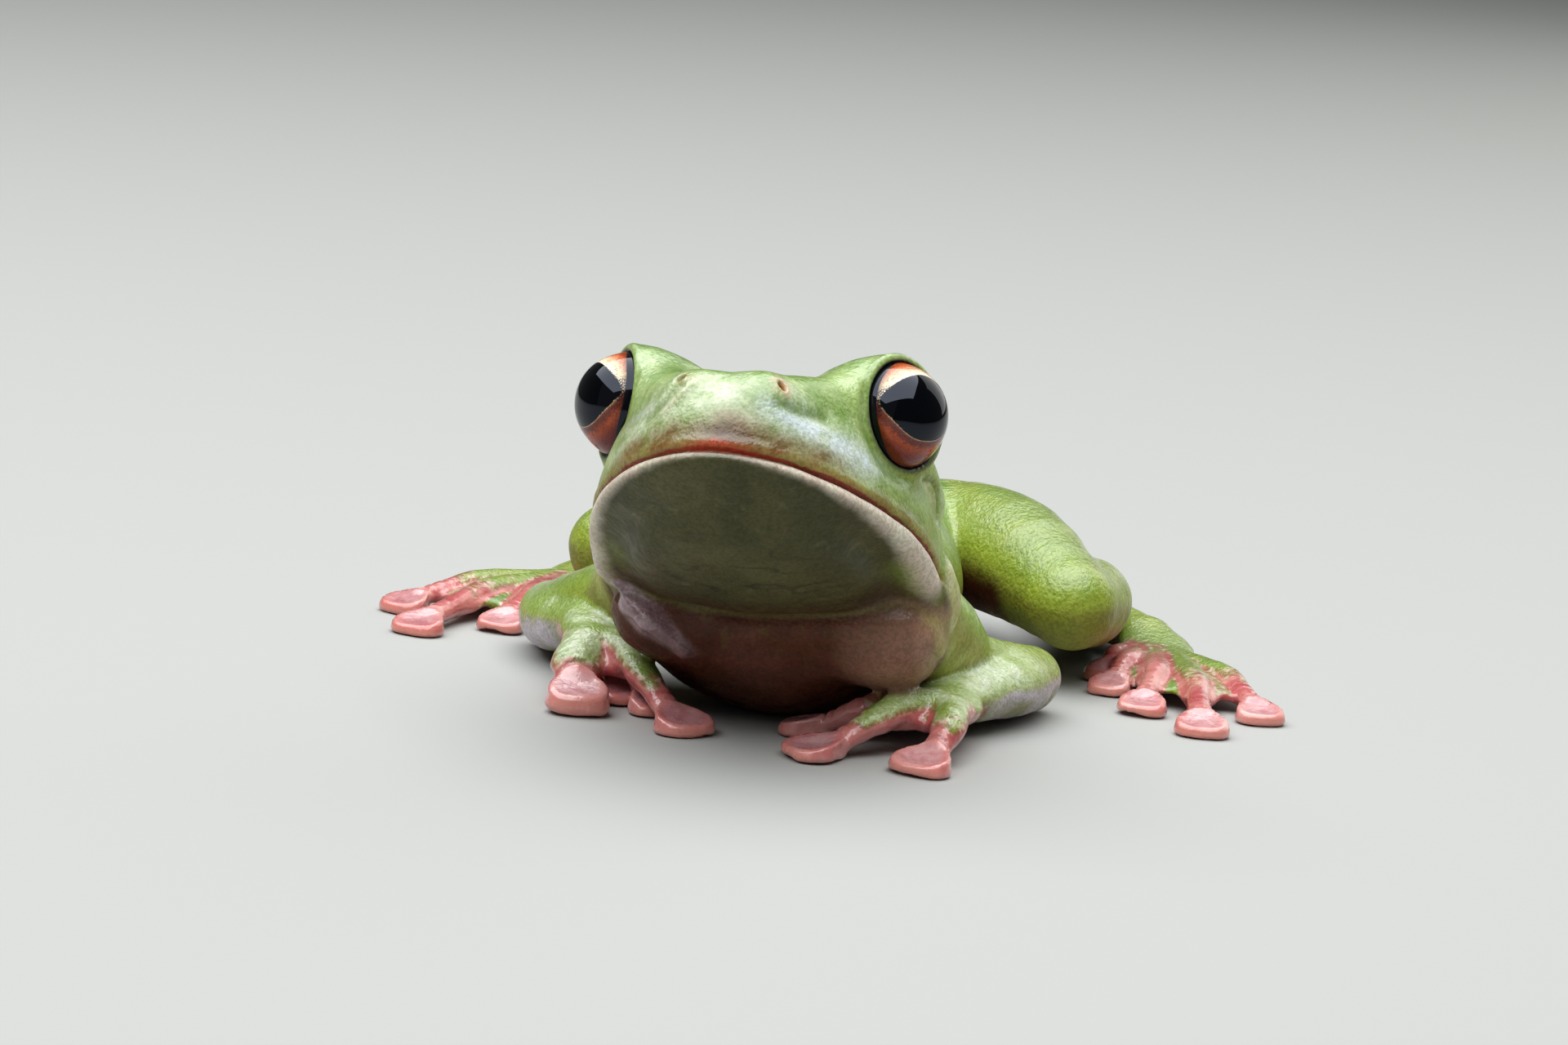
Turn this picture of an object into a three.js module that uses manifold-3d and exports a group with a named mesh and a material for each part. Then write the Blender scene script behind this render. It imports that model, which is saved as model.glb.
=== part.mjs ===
// A white-lipped tree frog at rest with its head raised, life size.
// Millimetres, +Z up, floor at z = 0. The frog looks along -Y, so +X is its left side.

import * as THREE from 'three';
import Module from 'manifold-3d';
import { mergeVertices } from 'three/addons/utils/BufferGeometryUtils.js';

const wasm = await Module();
wasm.setup();

// ---------------------------------------------------------------- driving dimensions

const GAP = 0.3; // left between two pieces that touch
const HALF_GAP = GAP / 2;

// Head frame: origin midway between the eyeballs, x to the frog's left, y to the back, z up.
const EYES_AT = new THREE.Vector3(0, -26, 29);
const HEAD_PITCH = 28; // degrees that the snout is raised
const HEAD_ROLL = 4.5; // degrees that the left eye is higher
const HEAD_HALF_WIDTH = 15.1; // at the corners of the mouth
const JAW_Y = 10; // where the head is widest
const SNOUT_REACH = 26; // from there to the tip of the snout
const NAPE_REACH = 15; // from there to the back of the skull
const PLAN_POWER = 1.85; // a little more pointed than an ellipse
const MOUTH_FRONT = -9.2; // height of the mouth line under the snout
const MOUTH_SLOPE = 0.03;
const MOUTH_DROOP = 0.011; // the mouth line curves down behind the eyes
const LIP_INSET = 0.955; // where the lips' middles run, in shares of the outline
const MOUTH_END_Y = 10.4; // the corner of the mouth
const JAW_DEPTH = 4.1;
const CROWN_FRONT = 0.3;
const CROWN_RISE = 2.4;
const UPPER_LIP = { height: 0.85, radius: 0.85 }; // above the mouth line
const LOWER_LIP = { height: -1.05, radius: 1.15 };

const EYE_RADIUS = 4.75;
const EYE_X = 11.4;
const EYE_TURN = 30; // degrees that each eye looks forward of straight sideways
const LID_PLANE = 1.45; // from the eyeball's centre to the plane of the lids
const LID_RADIUS = 5;
const LID_THICKNESS = 0.6;
const LID_OPENING = { inner: 5.4, outer: 8, depth: 5 }; // the cone cut out in front of the eyeball
const ORBIT = 5.4; // the skin round the eyeball
const NOSTRIL = new THREE.Vector3(3.8, -13.2, -2.9);
const NOSTRIL_ASIDE = 0.6; // both lie a little to the left
const NOSTRIL_OUTWARD = new THREE.Vector3(0.75, -0.55, 0.35); // the way that it opens
const NOSTRIL_RIM = { radius: 0.85, tube: 0.4 };
const NOSTRIL_PIT = 0.75;
const EARDRUM = { y: 9, z: -3.6, radius: 2.6, rim: 0.5, sunk: 0.25 };

// The cut between head and trunk runs from the throat's crease up to the nape.
const NECK_POINT = new THREE.Vector3(0, -25.6, 11.2);
const NECK_NORMAL = new THREE.Vector3(0, 13.4, -16.1).normalize();
const NECK_BLEND = 2.5;

const DISC_LENGTH = 0.44; // half the length of a toe disc, in disc widths
const DISC_HALF_HEIGHT = 0.95;
const DISC_ANGLES = [40, 90, 140];
const DIGIT_RINGS = 4;
const TOE_HEIGHT = 1;
const WEB_TOP = 1.2;
const WEB_BOTTOM = 0.35;
const WEB_BOW = 0.16;
const WEB_SHARE = 0.8; // how far out along the toes the web reaches

const HEAD_CELL = 1.6; // size of the net that the head is meshed with
const TORSO_CELL = 2.4;
const SHARE_TO_MM = 9; // turns the head's share of its outline into about millimetres

// ---------------------------------------------------------------- small maths

const vec = (x, y, z) => new THREE.Vector3(x, y, z);
const radians = THREE.MathUtils.degToRad;
const { lerp, smoothstep } = THREE.MathUtils;

// Smooth union of two signed distances, rounded over the width k.
function blend(a, b, k) {
  const h = Math.max(k - Math.abs(a - b), 0) / k;
  return Math.min(a, b) - (h * h * k) / 4;
}

// About the signed distance to an ellipsoid whose nose is tipped up by pitch degrees.
function ellipsoid(p, centre, radii, pitch = 0) {
  const c = Math.cos(radians(pitch));
  const s = Math.sin(radians(pitch));
  const x = p.x - centre[0];
  const dy = p.y - centre[1];
  const dz = p.z - centre[2];
  const y = dy * c - dz * s;
  const z = dy * s + dz * c;
  const near = Math.hypot(x / radii[0], y / radii[1], z / radii[2]);
  const steep = Math.hypot(x / radii[0] ** 2, y / radii[1] ** 2, z / radii[2] ** 2);
  return (near * (near - 1)) / Math.max(steep, 1e-9);
}

// Signed distance to a straight rod from a to b, whose radius runs from ra to rb.
function rod(p, a, b, ra, rb) {
  const ab = [b[0] - a[0], b[1] - a[1], b[2] - a[2]];
  const ap = [p.x - a[0], p.y - a[1], p.z - a[2]];
  const dot = ab[0] * ap[0] + ab[1] * ap[1] + ab[2] * ap[2];
  const t = Math.min(Math.max(dot / (ab[0] ** 2 + ab[1] ** 2 + ab[2] ** 2), 0), 1);
  return Math.hypot(ap[0] - ab[0] * t, ap[1] - ab[1] * t, ap[2] - ab[2] * t) - lerp(ra, rb, t);
}

// ---------------------------------------------------------------- the head's shape

const headFrame = new THREE.Matrix4()
  .makeTranslation(EYES_AT.x, EYES_AT.y, EYES_AT.z)
  .multiply(new THREE.Matrix4().makeRotationY(-radians(HEAD_ROLL)))
  .multiply(new THREE.Matrix4().makeRotationX(-radians(HEAD_PITCH)));
const toHead = headFrame.clone().invert();

function mouthHeight(y) {
  return MOUTH_FRONT - MOUTH_SLOPE * (y + SNOUT_REACH - JAW_Y) - MOUTH_DROOP * Math.max(y, 0) ** 2;
}

// 0 in the middle of the head, 1 on its outline as seen from above.
function planShare(p) {
  const y = p.y - JAW_Y;
  const reach = y < 0 ? SNOUT_REACH : NAPE_REACH;
  const sum = Math.abs(p.x / HEAD_HALF_WIDTH) ** PLAN_POWER + Math.abs(y / reach) ** PLAN_POWER;
  return sum ** (1 / PLAN_POWER);
}

function headShape(p) {
  const plan = planShare(p);
  const side = Math.abs(p.x);
  const q = { x: side, y: p.y, z: p.z };
  const mouth = mouthHeight(p.y);
  const crown = CROWN_FRONT + CROWN_RISE * smoothstep(p.y, -14, 0);
  const rise = p.z > mouth ? crown - mouth : JAW_DEPTH;
  const power = lerp(3.5, 2.35, smoothstep(p.y, -17, 2));
  const share = (plan ** power + Math.abs((p.z - mouth) / rise) ** power) ** (1 / power);
  let d = (share - 1) * SHARE_TO_MM;
  d = blend(d, ellipsoid(q, [EYE_X, 0, 0], [ORBIT, ORBIT, ORBIT]), 1.4); // round the eyeball
  d = blend(d, ellipsoid(q, [8.4, 1, -0.2], [5, 6.2, 4.7]), 1.8); // the brow over the eye
  d = blend(d, rod(q, [7, -5, -1.1], [3.2, -11.8, -3.4], 1.9, 1.4), 3); // from brow to nostril
  d = blend(d, rod(p, [-2.6, -11.8, -3.1], [2.6, -11.8, -3.1], 1.5, 1.5), 2); // between the nostrils
  d = blend(d, rod(q, [11.4, 5.4, 0.8], [12.2, 12.4, -3], 1.3, 1.6), 2.5); // fold over the ear
  return blend(d, ellipsoid(p, [0, 2, -13.2], [10, 11, 2.6]), 3); // the floor of the mouth
}

// ---------------------------------------------------------------- the trunk's shape

function trunkShape(p) {
  const q = { x: Math.abs(p.x), y: p.y, z: p.z };
  let d = ellipsoid(p, [0, -9.5, 14.6], [13.3, 12.5, 9.6], 20); // neck and shoulders
  d = blend(d, ellipsoid(p, [0, -9.8, 8.9], [13.6, 12.4, 9.2]), 4); // chest
  d = blend(d, ellipsoid(p, [0, 5, 9.6], [13, 17.5, 10.6], 12), 5); // belly and back
  d = blend(d, ellipsoid(p, [0, 24, 8.6], [9.2, 16.5, 8.7], 8), 5); // rump
  d = blend(d, rod(p, [-8.8, -21.2, 9.9], [10.8, -20.9, 11.2], 4.1, 4.5), 5); // fold under the throat
  d = blend(d, rod(p, [12.6, -16.8, 9.4], [14, -8, 7], 3.4, 4), 3.5); // down to the left arm
  return blend(d, rod(q, [14.6, -18, 13.8], [14.2, -9, 9], 1.3, 2.1), 3); // lobe behind the jaw
}

const inHead = new THREE.Vector3();

// The whole head and trunk, in the frog's own frame.
function bodyShape(p) {
  inHead.set(p.x, p.y, p.z).applyMatrix4(toHead);
  return blend(headShape(inHead), trunkShape(p), NECK_BLEND);
}

// ---------------------------------------------------------------- meshing

// How steeply a shape's distance grows along x, y and z, measured over the length e.
function slopeOf(shape, p, e) {
  const axes = [vec(e, 0, 0), vec(0, e, 0), vec(0, 0, e)];
  return vec(...axes.map((step) => (shape(p.clone().add(step)) - shape(p.clone().sub(step))) / (2 * e)));
}

// Moves each vertex of a net onto the surface, by no more than part of a cell.
function settle(shape, position, cell) {
  for (let n = 0; n < position.length; n += 3) {
    const p = vec(position[n], position[n + 1], position[n + 2]);
    const from = p.clone();
    for (let turn = 0; turn < 3; turn++) {
      const slope = slopeOf(shape, p, 0.02);
      p.addScaledVector(slope, -shape(p) / Math.max(slope.lengthSq(), 0.1));
    }
    p.sub(from).clampLength(0, cell * 0.4).add(from);
    [position[n], position[n + 1], position[n + 2]] = [p.x, p.y, p.z];
  }
}

// A closed net over the surface where shape is 0: one vertex in each cell that it crosses.
function surfaceNet(shape, low, high, cell) {
  const count = [0, 1, 2].map((k) => Math.ceil((high[k] - low[k]) / cell) + 1);
  const [nx, ny, nz] = count;
  const at = (i, j, k) => (i * ny + j) * nz + k;
  const value = new Float64Array(nx * ny * nz);
  for (let i = 0; i < nx; i++) {
    for (let j = 0; j < ny; j++) {
      for (let k = 0; k < nz; k++) {
        const edge = i === 0 || j === 0 || k === 0 || i === nx - 1 || j === ny - 1 || k === nz - 1;
        const p = vec(low[0] + i * cell, low[1] + j * cell, low[2] + k * cell);
        const d = shape(p);
        value[at(i, j, k)] = edge ? Math.max(d, cell / 2) : d;
      }
    }
  }
  const corners = [0, 1, 2, 3, 4, 5, 6, 7].map((c) => [c & 1, (c >> 1) & 1, (c >> 2) & 1]);
  const edges = [];
  for (let a = 0; a < 8; a++) {
    for (const bit of [1, 2, 4]) {
      if (!(a & bit)) edges.push([a, a | bit]);
    }
  }
  const vertexOf = new Int32Array(nx * ny * nz).fill(-1);
  const position = [];
  for (let i = 0; i < nx - 1; i++) {
    for (let j = 0; j < ny - 1; j++) {
      for (let k = 0; k < nz - 1; k++) {
        const v = corners.map(([a, b, c]) => value[at(i + a, j + b, k + c)]);
        const sum = [0, 0, 0];
        let hits = 0;
        for (const [a, b] of edges) {
          if (v[a] < 0 === v[b] < 0) continue;
          const t = v[a] / (v[a] - v[b]);
          for (let m = 0; m < 3; m++) sum[m] += lerp(corners[a][m], corners[b][m], t);
          hits++;
        }
        if (!hits) continue;
        vertexOf[at(i, j, k)] = position.length / 3;
        const cellAt = [i, j, k];
        for (let m = 0; m < 3; m++) position.push(low[m] + (cellAt[m] + sum[m] / hits) * cell);
      }
    }
  }
  settle(shape, position, cell);
  const index = [];
  const step = [ny * nz, nz, 1];
  for (let i = 0; i < nx - 1; i++) {
    for (let j = 0; j < ny - 1; j++) {
      for (let k = 0; k < nz - 1; k++) {
        const here = at(i, j, k);
        for (let m = 0; m < 3; m++) {
          const inside = value[here] < 0;
          const onEdge = [i, j, k][(m + 1) % 3] === 0 || [i, j, k][(m + 2) % 3] === 0;
          if (onEdge || inside === value[here + step[m]] < 0) continue;
          const u = step[(m + 1) % 3];
          const w = step[(m + 2) % 3];
          const quad = [here - u - w, here - w, here, here - u].map((n) => vertexOf[n]);
          if (!inside) quad.reverse();
          index.push(quad[0], quad[1], quad[2], quad[0], quad[2], quad[3]);
        }
      }
    }
  }
  const geometry = new THREE.BufferGeometry();
  geometry.setAttribute('position', new THREE.Float32BufferAttribute(position, 3));
  geometry.setIndex(index);
  return geometry;
}

// A closed skin over elliptic sections, each { at, along, wide, high }, that ends in two points.
function skinOver(sections, start, end, { sides = 12, floor = -Infinity } = {}) {
  const position = [];
  const push = (p) => position.push(p.x, p.y, Math.max(p.z, floor));
  for (const { at, along, wide, high } of sections) {
    const side = vec().crossVectors(along, vec(0, 0, 1)).normalize();
    const top = vec().crossVectors(side, along);
    for (let s = 0; s < sides; s++) {
      const a = (2 * Math.PI * (s + 0.5)) / sides;
      push(at.clone().addScaledVector(side, wide * Math.cos(a)).addScaledVector(top, high * Math.sin(a)));
    }
  }
  push(start);
  push(end);
  const index = [];
  const rows = sections.length;
  const tail = (rows - 1) * sides;
  for (let s = 0; s < sides; s++) {
    const n = (s + 1) % sides;
    for (let r = 0; r < tail; r += sides) {
      index.push(r + s, r + sides + n, r + n, r + s, r + sides + s, r + sides + n);
    }
    index.push(rows * sides, s, n, rows * sides + 1, tail + n, tail + s);
  }
  const geometry = new THREE.BufferGeometry();
  geometry.setAttribute('position', new THREE.Float32BufferAttribute(position, 3));
  geometry.setIndex(index);
  return geometry;
}

// Sections along a smooth line through keys, each [x, y, z, half width, half height].
function sectionsAlong(keys, rings, grow) {
  const spine = new THREE.CatmullRomCurve3(keys.map((k) => vec(k[0], k[1], k[2])));
  const girth = new THREE.CatmullRomCurve3(keys.map((k) => vec(k[3], k[4], 0)));
  const sections = [];
  for (let i = 0; i <= rings; i++) {
    const size = girth.getPoint(i / rings);
    const along = spine.getTangent(i / rings);
    sections.push({ at: spine.getPoint(i / rings), along, wide: size.x + grow, high: size.y + grow });
  }
  return sections;
}

// A section shifted along the limb and shrunk, for the domes that close it.
function shifted({ at, along, wide, high }, shift, shrink) {
  return { at: at.clone().addScaledVector(along, shift), along, wide: wide * shrink, high: high * shrink };
}

// A limb with a dome at each end; grow widens it all round.
function limb(keys, { sides = 10, rings = 7, grow = 0, floor = 0 } = {}) {
  const sections = sectionsAlong(keys, rings, grow);
  const [first, last] = [sections[0], sections[rings]];
  for (const angle of [30, 60]) {
    const c = Math.cos(radians(angle));
    const s = Math.sin(radians(angle));
    sections.unshift(shifted(first, -s * first.high, c));
    sections.push(shifted(last, s * last.high, c));
  }
  const start = shifted(first, -first.high, 0).at;
  const end = shifted(last, last.high, 0).at;
  return skinOver(sections, start, end, { sides, floor });
}

// A finger or toe from its knuckle over a raised middle to the round disc at its tip.
function digit({ from, over, tip, width, disc }, grow = 0) {
  const half = width / 2;
  const reach = disc * DISC_LENGTH;
  const toTip = vec(...tip).sub(vec(...over)).setZ(0).normalize();
  const neck = vec(...tip).addScaledVector(toTip, -reach);
  neck.z = tip[2] + 0.3;
  const keys = [
    [...from, half * 1.05, half],
    [...over, half * 0.95, half * 0.9],
    [...neck.toArray(), half * 0.85, half * 0.8],
  ];
  const sections = sectionsAlong(keys, DIGIT_RINGS, grow);
  const root = shifted(sections[0], -half, 0).at;
  for (const angle of DISC_ANGLES) {
    const c = Math.cos(radians(angle));
    const s = Math.sin(radians(angle));
    const at = vec(...tip).addScaledVector(toTip, -reach * c);
    const high = DISC_HALF_HEIGHT * Math.sqrt(Math.min(1, s + 0.25));
    sections.push({ at, along: toTip, wide: (disc / 2) * s + grow, high: high + grow });
  }
  const end = vec(...tip).addScaledVector(toTip, reach);
  return skinOver(sections, root, end, { sides: 8, floor: 0 });
}

// A thin web between two toes, from their roots out to a bowed edge at share of their length.
function web(a, b, share) {
  const line = ({ from, over, tip }) => new THREE.CatmullRomCurve3([from, over, tip].map((p) => vec(...p)));
  const [one, two] = [line(a), line(b)];
  const across = 2;
  const along = 4;
  const position = [];
  for (const z of [WEB_TOP, WEB_BOTTOM]) {
    for (let i = 0; i <= along; i++) {
      for (let j = 0; j <= across; j++) {
        const bow = 1 - WEB_BOW * Math.sin((Math.PI * j) / across);
        const t = (i / along) * share * bow;
        const p = one.getPoint(t).lerp(two.getPoint(t), j / across);
        position.push(p.x, p.y, z + Math.max(p.z - TOE_HEIGHT, 0) * 0.8);
      }
    }
  }
  const row = across + 1;
  const under = (along + 1) * row;
  const index = [];
  const quad = (p, q, r, s) => index.push(p, q, r, p, r, s);
  for (let i = 0; i < along; i++) {
    for (let j = 0; j < across; j++) {
      const n = i * row + j;
      quad(n, n + 1, n + row + 1, n + row);
      index.push(under + n, under + n + row + 1, under + n + 1);
      index.push(under + n, under + n + row, under + n + row + 1);
    }
    const left = i * row;
    const right = i * row + across;
    quad(left, left + row, under + left + row, under + left);
    quad(right, under + right, under + right + row, right + row);
  }
  for (let j = 0; j < across; j++) {
    const far = along * row + j;
    quad(j, under + j, under + j + 1, j + 1);
    quad(far, far + 1, under + far + 1, under + far);
  }
  const geometry = new THREE.BufferGeometry();
  geometry.setAttribute('position', new THREE.Float32BufferAttribute(position, 3));
  geometry.setIndex(index);
  return geometry;
}

// ---------------------------------------------------------------- solids

// A manifold solid of a closed geometry, placed by matrix.
function solid(geometry, matrix = new THREE.Matrix4()) {
  const bare = new THREE.BufferGeometry();
  bare.setAttribute('position', geometry.getAttribute('position').clone());
  if (geometry.index) bare.setIndex(geometry.index);
  bare.applyMatrix4(matrix);
  const merged = mergeVertices(bare, 1e-4);
  const vertProperties = new Float32Array(merged.getAttribute('position').array);
  const triVerts = new Uint32Array(merged.index.array);
  return new wasm.Manifold(new wasm.Mesh({ numProp: 3, vertProperties, triVerts }));
}

// The largest closed surface of a solid.
function largest(made) {
  return made.decompose().reduce((best, one) => (one.volume() > best.volume() ? one : best));
}

// A block that fills everything past a plane, whose normal points into the block. The plane
// lies at distance shift along the normal from point.
function beyond(point, normal, shift = 0) {
  const size = 240;
  const turn = new THREE.Quaternion().setFromUnitVectors(vec(0, 0, 1), normal);
  const centre = point.clone().addScaledVector(normal, size / 2 + shift);
  const place = new THREE.Matrix4().compose(centre, turn, vec(1, 1, 1));
  return solid(new THREE.BoxGeometry(size, size, size), place);
}

// Two pieces that meet at a joint, each cut back from the plane that halves the angle there.
function partAt(joint, before, after, a, b) {
  const back = before.clone().sub(joint).normalize();
  const normal = after.clone().sub(joint).normalize().sub(back).normalize();
  const up = a.subtract(beyond(joint, normal, -HALF_GAP));
  const down = b.subtract(beyond(joint, normal.clone().negate(), -HALF_GAP));
  return [up, down];
}

// ---------------------------------------------------------------- head and jaw

// The head frame's shape of head and trunk together.
function bodyInHead(p) {
  const q = vec(p.x, p.y, p.z).applyMatrix4(headFrame);
  return blend(headShape(p), trunkShape(q), NECK_BLEND);
}

// Places a shape whose own z axis should point along normal, in the head frame.
function facing(at, normal, scale = vec(1, 1, 1)) {
  const turn = new THREE.Quaternion().setFromUnitVectors(vec(0, 0, 1), normal.clone().normalize());
  return new THREE.Matrix4().compose(at, turn, scale);
}

// Where the skin is, straight out to one side of the head at y and z, and which way it faces.
function skinAt(side, y, z) {
  let [near, far] = [0, 20];
  for (let i = 0; i < 30; i++) {
    const x = (near + far) / 2;
    if (headShape(vec(side * x, y, z)) < 0) near = x;
    else far = x;
  }
  const at = vec(side * near, y, z);
  return { at, normal: slopeOf(headShape, at, EARDRUM.radius / 2).normalize() };
}

// The band that the mouth's slit takes out, from in front of the snout to the throat.
function mouthSlit() {
  const bends = 8;
  const line = [[JAW_Y - SNOUT_REACH - 4, mouthHeight(JAW_Y - SNOUT_REACH - 4)]];
  for (let i = 0; i <= bends; i++) {
    const y = (MOUTH_END_Y * i) / bends;
    line.push([y, mouthHeight(y)]);
  }
  line.push([MOUTH_END_Y - 0.6, -22]);
  const edge = (shift) => line.map(([y, z], i) => {
    const rearward = i >= line.length - 2 ? shift : 0;
    const upward = i === line.length - 1 ? 0 : shift;
    return new THREE.Vector2(y + rearward, z + upward);
  });
  const outline = new THREE.Shape([...edge(HALF_GAP), ...edge(-HALF_GAP).reverse()]);
  const band = new THREE.ExtrudeGeometry(outline, { depth: 60, bevelEnabled: false });
  const upright = new THREE.Matrix4().makeBasis(vec(0, 1, 0), vec(0, 0, 1), vec(1, 0, 0));
  return solid(band, upright.setPosition(-30, 0, 0));
}

// A rounded rim along the mouth, from one corner round the snout to the other.
function lip({ height, radius }) {
  const sections = [];
  const turns = 20;
  for (let i = 0; i <= turns; i++) {
    const t = (i / turns) * 2 - 1;
    const y = lerp(JAW_Y - SNOUT_REACH, MOUTH_END_Y - 1, Math.abs(t) ** 1.7);
    const inner = 1 - Math.min(Math.abs((y - JAW_Y) / SNOUT_REACH), 1) ** PLAN_POWER;
    const x = Math.sign(t) * HEAD_HALF_WIDTH * inner ** (1 / PLAN_POWER);
    const size = radius * (1 - 0.5 * Math.abs(t) ** 6);
    sections.push({ at: vec(x * LIP_INSET, y, mouthHeight(y) + height), wide: size, high: size });
  }
  sections.forEach((section, i) => {
    section.at.y += (1 - LIP_INSET) * (JAW_Y - section.at.y);
    const [before, after] = [sections[Math.max(i - 1, 0)], sections[Math.min(i + 1, turns)]];
    section.along = after.at.clone().sub(before.at).normalize();
  });
  const [start, end] = [shifted(sections[0], -radius, 1).at, shifted(sections[turns], radius, 1).at];
  return skinOver(sections, start, end, { sides: 6 });
}

// The jaw and the rest of the head, as far back as the neck.
function headPieces() {
  let head = solid(surfaceNet(bodyInHead, [-18.4, -21, -25], [18.4, 32, 10], HEAD_CELL));
  head = head.add(solid(lip(UPPER_LIP))).add(solid(lip(LOWER_LIP)));
  for (const side of [-1, 1]) {
    const look = vec(side * Math.cos(radians(EYE_TURN)), -Math.sin(radians(EYE_TURN)), 0);
    const eye = vec(side * EYE_X, 0, 0);
    const lids = eye.clone().addScaledVector(look, LID_PLANE);
    const { inner, outer, depth } = LID_OPENING;
    const opening = new THREE.CylinderGeometry(outer, inner, depth, 28).rotateX(Math.PI / 2);
    head = head.subtract(solid(opening, facing(lids.clone().addScaledVector(look, depth / 2), look)));
    const rim = new THREE.TorusGeometry(LID_RADIUS, LID_THICKNESS, 6, 28);
    head = head.add(solid(rim, facing(lids, look)));
    const socket = new THREE.IcosahedronGeometry(EYE_RADIUS + GAP, 3);
    head = head.subtract(solid(socket, facing(eye, look)));
    const nostril = vec(side * NOSTRIL.x + NOSTRIL_ASIDE, NOSTRIL.y, NOSTRIL.z);
    const outward = vec(side * NOSTRIL_OUTWARD.x, NOSTRIL_OUTWARD.y, NOSTRIL_OUTWARD.z);
    const flare = new THREE.TorusGeometry(NOSTRIL_RIM.radius, NOSTRIL_RIM.tube, 6, 12);
    head = head.add(solid(flare, facing(nostril, outward, vec(1, 0.8, 1))));
    const pit = new THREE.SphereGeometry(NOSTRIL_PIT, 10, 6);
    head = head.subtract(solid(pit, facing(nostril, outward, vec(0.8, 0.7, 1.4))));
    const drum = skinAt(side, EARDRUM.y, EARDRUM.z);
    const ring = new THREE.TorusGeometry(EARDRUM.radius, EARDRUM.rim, 6, 20);
    const sunk = drum.at.clone().addScaledVector(drum.normal, -EARDRUM.sunk);
    head = head.add(solid(ring, facing(sunk, drum.normal)));
  }
  head = head.subtract(mouthSlit()).transform(headFrame.toArray());
  const pieces = head.subtract(beyond(NECK_POINT, NECK_NORMAL, -HALF_GAP));
  return pieces.decompose().sort((a, b) => b.volume() - a.volume()).slice(0, 2);
}

// ---------------------------------------------------------------- limbs

// Each length of a limb is a list of [x, y, z, half width, half height] from root to end.
const ARMS = {
  right: {
    side: -1,
    upper: [[-10.8, -10.5, 9.6, 4.6, 4.4], [-18.9, -4, 5.9, 3.9, 3.5], [-24.5, 3.2, 3.2, 2.9, 2.9]],
    fore: [[-24.5, 3.2, 3.2, 2.9, 2.9], [-22.8, -2, 3.8, 3.2, 2.9], [-17.6, -9.8, 5.2, 2.5, 2.1]],
    palm: [[-17.6, -9.8, 5.2, 2.5, 2.1], [-16.2, -12.2, 5.1, 3.4, 1.9], [-15, -14.6, 4.6, 3.4, 1.6]],
    fingers: [
      { from: [-15.2, -12.2, 4.9], over: [-14.4, -14.6, 2.9], tip: [-12.6, -17, 0.85], width: 2, disc: 3.6 },
      { from: [-13.6, -13.8, 4.9], over: [-11.4, -16.4, 3.1], tip: [-9, -19.6, 0.85], width: 2.3, disc: 4.2 },
      { from: [-13.7, -15, 5], over: [-9.8, -20.2, 3.5], tip: [-4.7, -25.4, 0.85], width: 2.7, disc: 5.3 },
      { from: [-16.5, -15, 4.1], over: [-16.4, -18.6, 2.9], tip: [-14.9, -23, 0.85], width: 4.2, disc: 5.5 },
    ],
  },
  left: {
    side: 1,
    upper: [[10.5, -11.5, 8.4, 4.4, 4.2], [16.3, -5, 4.8, 3.5, 3.4], [20.6, 1.8, 3.1, 2.9, 2.9]],
    fore: [[20.6, 1.8, 3.1, 2.9, 2.9], [20.2, -3.6, 3.5, 3.1, 2.9], [16.7, -13.4, 3.4, 2.5, 2]],
    palm: [[16.7, -13.4, 3.4, 2.5, 2], [16.5, -16.4, 3.5, 3.4, 1.8], [16.4, -18.8, 3.5, 3.3, 1.6]],
    fingers: [
      { from: [14.6, -15.8, 3.4], over: [11.6, -17, 2.9], tip: [8.4, -16.8, 0.85], width: 2.1, disc: 3.6 },
      { from: [14.4, -17.6, 3.4], over: [9.9, -20.4, 3], tip: [4.6, -19.8, 0.85], width: 2.3, disc: 4.2 },
      { from: [15.4, -19.3, 3.7], over: [12.2, -24.4, 3.2], tip: [7.5, -28.8, 0.85], width: 2.7, disc: 5.3 },
      { from: [17.8, -19.4, 3.7], over: [18.4, -23.8, 3], tip: [17.2, -28.8, 0.85], width: 2.9, disc: 5.3 },
    ],
  },
};

const LEG = {
  thigh: [
    [6, 35.5, 9.4, 5.2, 5.2],
    [10, 30, 9.9, 5.8, 5.8],
    [15.4, 23.4, 9.8, 5.6, 5.7],
    [22, 14.5, 8, 4, 4],
  ],
  shank: [
    [22, 14.5, 8, 4, 4],
    [21.9, 24, 6.7, 4.3, 4.3],
    [19, 36, 4.6, 3.4, 3.4],
    [14.8, 46.5, 3.2, 2.7, 2.7],
  ],
  tarsus: [[14.8, 46.5, 3.2, 2.7, 2.7], [20, 40.6, 2.7, 2.4, 2.2], [26.5, 33, 2.3, 2.6, 1.9]],
  sole: [[26.5, 33, 2.3, 2.6, 1.9], [28, 29.6, 2, 3.6, 1.5], [29, 26.4, 1.7, 3.4, 1.2]],
  toes: [
    { from: [26.2, 28.4, 1.5], over: [24.9, 25.2, 1.9], tip: [24.6, 20.8, 0.85], width: 1.9, disc: 3.4 },
    { from: [27.2, 26.8, 1.6], over: [26.6, 21.4, 2], tip: [26.2, 15, 0.85], width: 2.1, disc: 3.8 },
    { from: [28.6, 25.9, 1.7], over: [30, 17.4, 2.1], tip: [30.4, 7.8, 0.85], width: 2.3, disc: 4.4 },
    { from: [30.2, 25.8, 1.7], over: [34, 15.2, 2.2], tip: [36.8, 2, 0.85], width: 2.5, disc: 4.8 },
    { from: [31.2, 26.8, 1.6], over: [36.6, 19.6, 2], tip: [40.8, 10.8, 0.85], width: 2.3, disc: 4.4 },
  ],
};

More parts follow.
